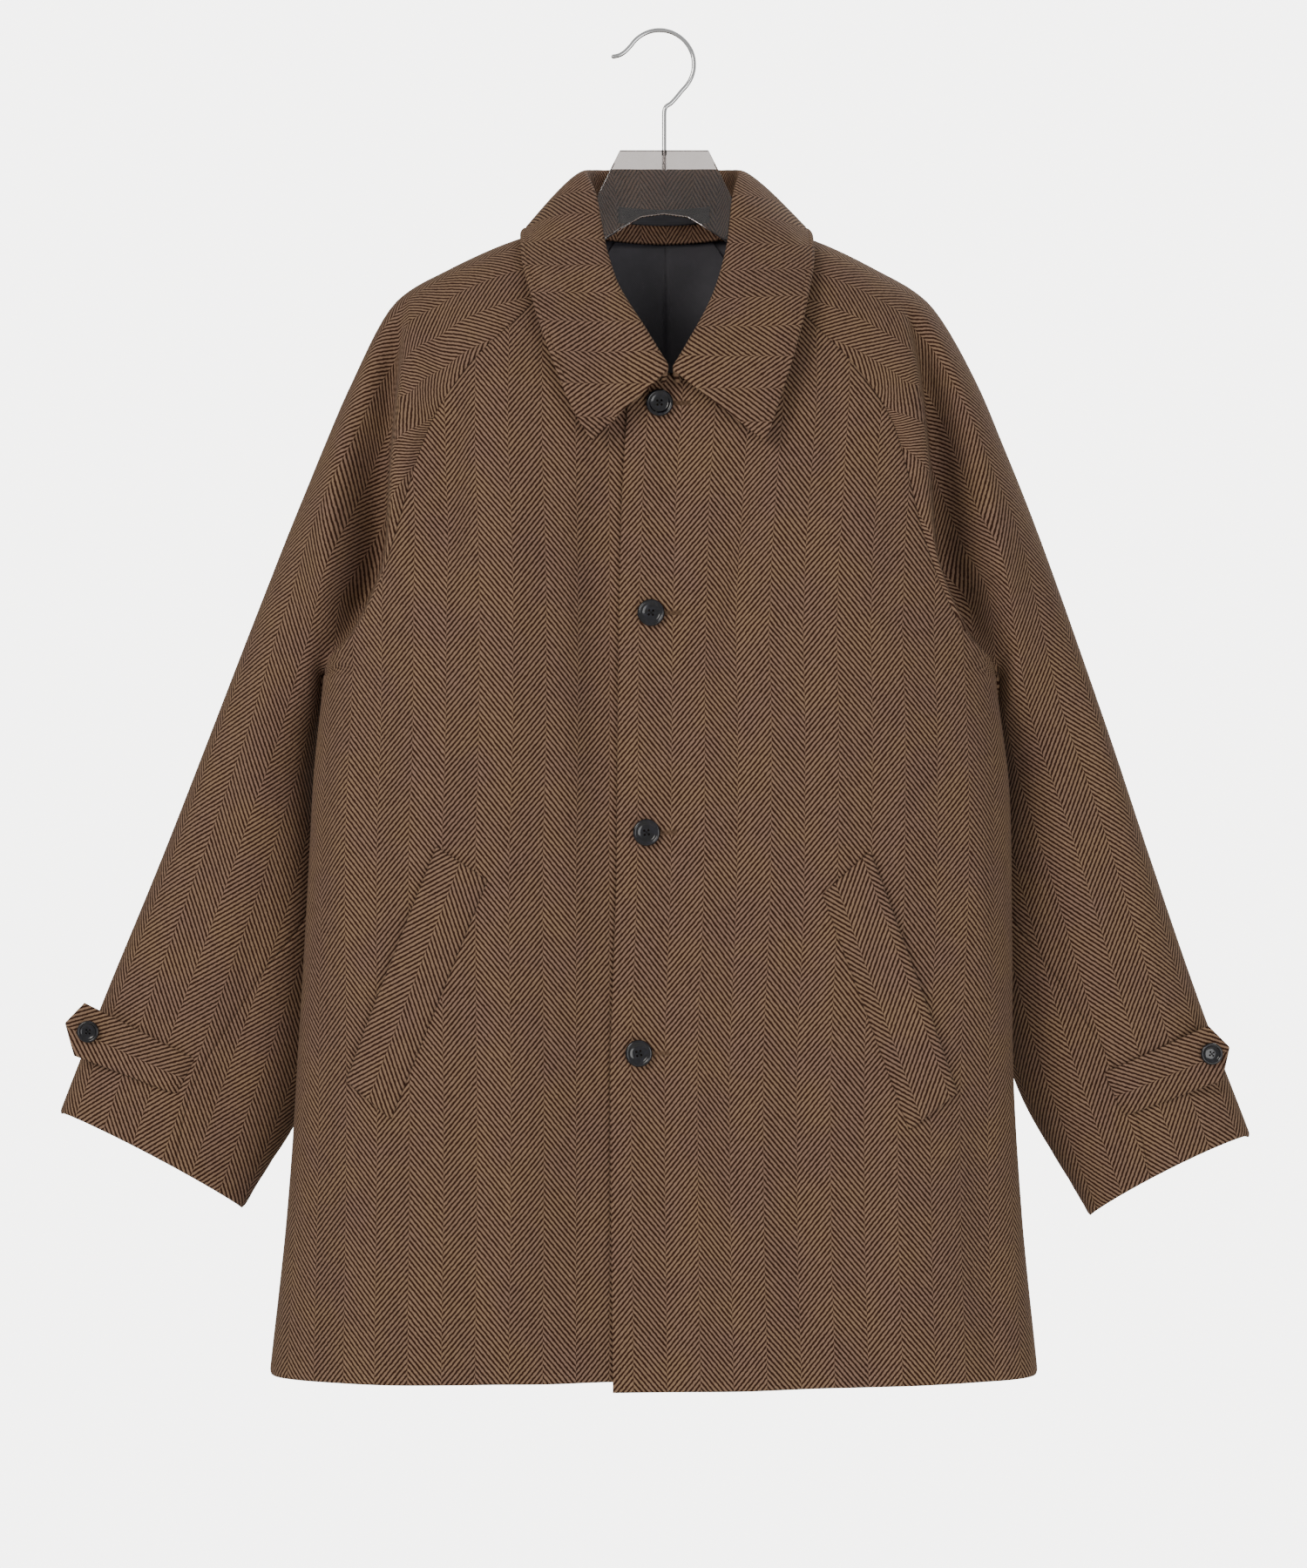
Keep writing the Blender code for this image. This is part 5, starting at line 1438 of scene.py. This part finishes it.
# %% Buttons and their thread
FRONT_BUTTONS = ((-0.0002, -0.2918), (-0.0066, -0.4486), (-0.0099, -0.6133), (-0.0157, -0.7786))
TAB_BUTTONS = {1: (0.4213, -0.7830), -1: (-0.4367, -0.7663)}
FRONT_WIDE = 0.0205
TAB_WIDE = 0.0170
DISH = 0.62
THREAD_LIFT = 0.0001
spots = []
for number, (x, z) in enumerate(FRONT_BUTTONS, start=1):
    y = min(float(front_y(x + reach, z)) for reach in (-0.01, 0.0, 0.01)) - LAID_ON
    spots.append((f"button_{number}", x, y, z, FRONT_WIDE))
for side, who in SIDES:
    x, z = TAB_BUTTONS[side]
    spots.append((f"tab_button_{who}", x, tab_depth[side] - LAID_ON, z, TAB_WIDE))
models = {width: turned_button(f"pattern_{width}", width) for width in (FRONT_WIDE, TAB_WIDE)}
for node_name, x, y, z, width in spots:
    button = models[width].copy()
    button.data = models[width].data.copy()
    button.name = button.data.name = f"{node_name}_resin"
    bpy.context.collection.objects.link(button)
    pick(button)
    button.rotation_euler = (math.pi / 2, 0.2 * math.sin(x * 900), 0)
    button.location = (x, y, z)
    bpy.ops.object.transform_apply(location=True, rotation=True, scale=True)
    stand_for(button, node_name)
    top = y - BUTTON_RISE * DISH - THREAD_LIFT
    bars = [(x, top - THREAD_LIFT * k, z) for k in (0, 1)] * 2
    runs = [(1, 0, 1), (1, 0, -1)] * 2
    sewing(f"{node_name}_thread", bars, runs, [(0, -1, 0)] * 4, width * 0.25, width * 0.035, black_thread)
for model in models.values():
    bpy.data.objects.remove(model, do_unlink=True)
print("buttons:", len(spots))

# %% [markdown]
# ## Buttonholes
# Each front button goes through a buttonhole that runs across the front. Most of it is under the button:
# what shows is its end, worked in close stitches with a bar across it.

# %% Buttonholes
LIP = 0.0009
LIP_REACH = np.arange(-0.003, 0.0215, 0.00075)
BAR_X = 0.0222
BAR_RISE = np.linspace(-0.0018, 0.0018, 5)
for number, (x, z) in enumerate(FRONT_BUTTONS, start=1):
    rows = [(x + LIP_REACH, np.full(LIP_REACH.shape, z + off), 0.0001, (0.12, 0.0, 1.0)) for off in (LIP, -LIP)]
    rows.append((np.full(BAR_RISE.shape, x + BAR_X), z + BAR_RISE, 0.0002, (1.0, 0.0, 0.1)))
    places, runs, outs = [], [], []
    for row_x, row_z, lift, run in rows:
        out = front_normals(row_x, row_z)
        places.append(np.stack([row_x, front_y(row_x, row_z), row_z], axis=1) + out * lift)
        runs.append(np.tile(run, (len(row_x), 1)))
        outs.append(out)
    places, runs, outs = np.concatenate(places), np.concatenate(runs), np.concatenate(outs)
    sewing(f"buttonhole_{number}", places, runs, outs, 0.0019, 0.0006, brown_thread)
print("buttonholes:", len(FRONT_BUTTONS))

# %% [markdown]
# ## The hanger
# The hanger is cut from a flat acrylic sheet. Its outline is drawn as a filled ring of points, extruded to
# the sheet's thickness, bevelled along its edges, and bored from above for the hook's shank.

# %% Hanger plate
Arm = namedtuple("Arm", "out top low")
HANGER_ARM = (
    Arm(out=0.000, top=-0.0908, low=-0.1396),
    Arm(out=0.018, top=-0.0908, low=-0.1420),
    Arm(out=0.034, top=-0.0908, low=-0.1515),
    Arm(out=0.047, top=-0.1170, low=-0.1600),
    Arm(out=0.0525, top=-0.1280, low=-0.1630),
    Arm(out=0.0555, top=-0.1495, low=-0.1645),
    Arm(out=0.067, top=-0.1509, low=-0.1700),
    Arm(out=0.112, top=-0.1629, low=-0.1880),
    Arm(out=0.150, top=-0.1801, low=-0.2050),
    Arm(out=0.182, top=-0.1980, low=-0.2190),
)
HANGER_MIDDLE = 0.0035
HANGER_THICK = 0.0070
HOOK_BORE = 0.0040
SHANK_LOW = -0.1050
BORE_SPARE = 0.001
right = [(HANGER_MIDDLE + arm.out, arm.top) for arm in HANGER_ARM]
right += [(HANGER_MIDDLE + arm.out, arm.low) for arm in reversed(HANGER_ARM)]
outline = right + [(2 * HANGER_MIDDLE - x, z) for x, z in reversed(right)][1:-1]
plate = add(disc, "hanger_plate_acrylic", vertices=len(outline), radius=1.0, fill_type="NGON")
ring = np.array([(x, -HANGER_THICK / 2, z) for x, z in outline], dtype=np.float32)
plate.data.vertices.foreach_set("co", ring.reshape(-1))
bpy.ops.object.mode_set(mode="EDIT")
bpy.ops.mesh.select_all(action="SELECT")
bpy.ops.mesh.extrude_region_move(TRANSFORM_OT_translate={"value": (0, HANGER_THICK, 0)})
face_out()
bevel = plate.modifiers.new("polished edge", "BEVEL")
bevel.width, bevel.segments = 0.0007, 3
bevel.limit_method, bevel.angle_limit = "ANGLE", math.radians(50)
bpy.ops.object.modifier_apply(modifier=bevel.name)
depth = HANGER_ARM[0].top - SHANK_LOW + BORE_SPARE
drill(plate, (HANGER_MIDDLE, 0, HANGER_ARM[0].top), HOOK_BORE / 2, 2 * depth, 32)
polish(plate, math.radians(15), clear_sheet)
stand_for(plate, "hanger_plate")
print("plate faces:", len(plate.data.polygons))

# %% [markdown]
# The hook is a wire: a curve with a round bevel, turned into a mesh. It ends in a rounded tip, so that it
# can't scratch.

# %% Hanger hook
HOOK_WIRE = 0.0034
HOOK_RADIUS = 0.0263
SHANK_TOP = -0.0600
HOOK_FLICK = ((-0.0278, -0.0158), (-0.0318, -0.0178), (-0.0355, -0.0186))
centre_z = HOOK_WIRE / 2 - HOOK_RADIUS
path = [(HANGER_MIDDLE, SHANK_LOW), (HANGER_MIDDLE, SHANK_TOP - 0.02), (HANGER_MIDDLE, SHANK_TOP - 0.004)]
path += [(HANGER_MIDDLE + 0.0002, SHANK_TOP), (HANGER_MIDDLE + 0.0013, SHANK_TOP + 0.0028)]
path += [(HANGER_MIDDLE + 0.0050, SHANK_TOP + 0.0054)]
for degrees in range(-46, 147, 6):
    turn = math.radians(degrees)
    path.append((HOOK_RADIUS * math.cos(turn), centre_z + HOOK_RADIUS * math.sin(turn)))
path = np.array(path + list(HOOK_FLICK))
run = run_of(path)
fine = np.linspace(0, run[-1], 180)
path = np.stack([smooth(run, path[:, 0], fine), smooth(run, path[:, 1], fine)], axis=1)
bpy.ops.object.select_all(action="DESELECT")
bpy.ops.curve.primitive_bezier_curve_add()
wire = bpy.context.object
wire.name = "hanger_hook_wire"
wire.data.splines.clear()
spline = wire.data.splines.new("POLY")
spline.points.add(len(path) - 1)
for point, (x, z) in zip(spline.points, path):
    point.co = (x, 0.0, z, 1.0)
wire.data.bevel_depth = HOOK_WIRE / 2
wire.data.bevel_resolution = 6
wire.data.use_fill_caps = True
bpy.ops.object.convert(target="MESH")
wire = bpy.context.object
bpy.ops.mesh.primitive_uv_sphere_add(
    segments=24, ring_count=14, radius=HOOK_WIRE / 2, location=(path[-1, 0], 0, path[-1, 1])
)
wire.select_set(True)
bpy.context.view_layer.objects.active = wire
bpy.ops.object.join()
polish(wire, SMOOTH_ANGLE, chrome_wire)
stand_for(wire, "hanger_hook")
print("hook faces:", len(wire.data.polygons))

# %% [markdown]
# ## Floor, light and camera
# The coat hangs high over a plain pale floor, in soft studio light: a pale surround, a large lamp at the
# upper left in front, a weaker one low at the right, and a high one behind. The surround has its own
# strength for what it lights, what gleams, what is seen through the acrylic and what is seen directly.

# %% Floor and light
FLOOR_RADIUS = 3.5
FLOOR_Z = -1.95
floor = add(disc, "floor", vertices=96, radius=FLOOR_RADIUS, fill_type="NGON")
level = np.array([(v.co.x, v.co.y, FLOOR_Z) for v in floor.data.vertices])
floor.data.vertices.foreach_set("co", level.reshape(-1))
floor.data.materials.append(floor_paint)
floor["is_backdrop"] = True

LIT = 0.40
GLEAM = 0.62
THROUGH = 2.1
SEEN = 6.0
world = bpy.context.scene.world or bpy.data.worlds.new("studio")
bpy.context.scene.world = world
world.use_nodes = True
sky = world.node_tree
kinds = node(sky, "LightPath", out=None)
glow = LIT
for kind, strength in (("Is Glossy Ray", GLEAM), ("Is Transmission Ray", THROUGH), ("Is Camera Ray", SEEN)):
    glow = node(sky, "Math", {0: kinds[kind], 1: strength - LIT, 2: glow}, operation="MULTIPLY_ADD")
sky.links.new(glow, sky.nodes["Background"].inputs["Strength"])
sky.nodes["Background"].inputs["Color"].default_value = linear("#F7F6F4")


def lamp(name, place, target, size, power, colour="#FFFFFF"):
    """A large soft lamp that points at a target."""
    bpy.ops.object.light_add(type="AREA", location=place)
    light = bpy.context.object
    light.name = name
    light.data.size = size
    light.data.energy = power
    light.data.color = linear(colour)[:3]
    aim = np.subtract(target, place)
    light.rotation_euler = (math.atan2(math.hypot(aim[0], aim[1]), -aim[2]), 0.0, math.atan2(-aim[0], aim[1]))


lamp("key lamp", (-1.7, -2.3, 0.6), (0, 0, -0.6), 1.2, 40.5, "#FFFAF4")
lamp("fill lamp", (1.4, -2.85, -1.0), (0, 0, -0.6), 1.5, 27.0)
lamp("back lamp", (1.2, 2.2, 2.0), (0, 0, -0.5), 1.6, 60.0)

# %% [markdown]
# The camera stands level, 3.2 m in front of the hanger, with a long lens.

# %% Camera
PHOTO_TALL = 1800
FOCAL_PIXELS = 4785
CAMERA_PLACE = (-0.0047, -3.2, -0.577)
bpy.ops.object.camera_add(location=CAMERA_PLACE, rotation=(math.pi / 2, 0, 0))
camera = bpy.context.object
camera.data.sensor_width = 36.0
camera.data.lens = FOCAL_PIXELS / PHOTO_TALL * camera.data.sensor_width
bpy.context.scene.camera = camera
print("lens:", round(camera.data.lens, 1), "mm")

# %% [markdown]
# ## Hand over
# The box of the dressed coat is printed, and the frame takes the scene over.

# %% Sizes and hand over
low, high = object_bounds()
print("visual box:", [round(v, 3) for v in low], [round(v, 3) for v in high])
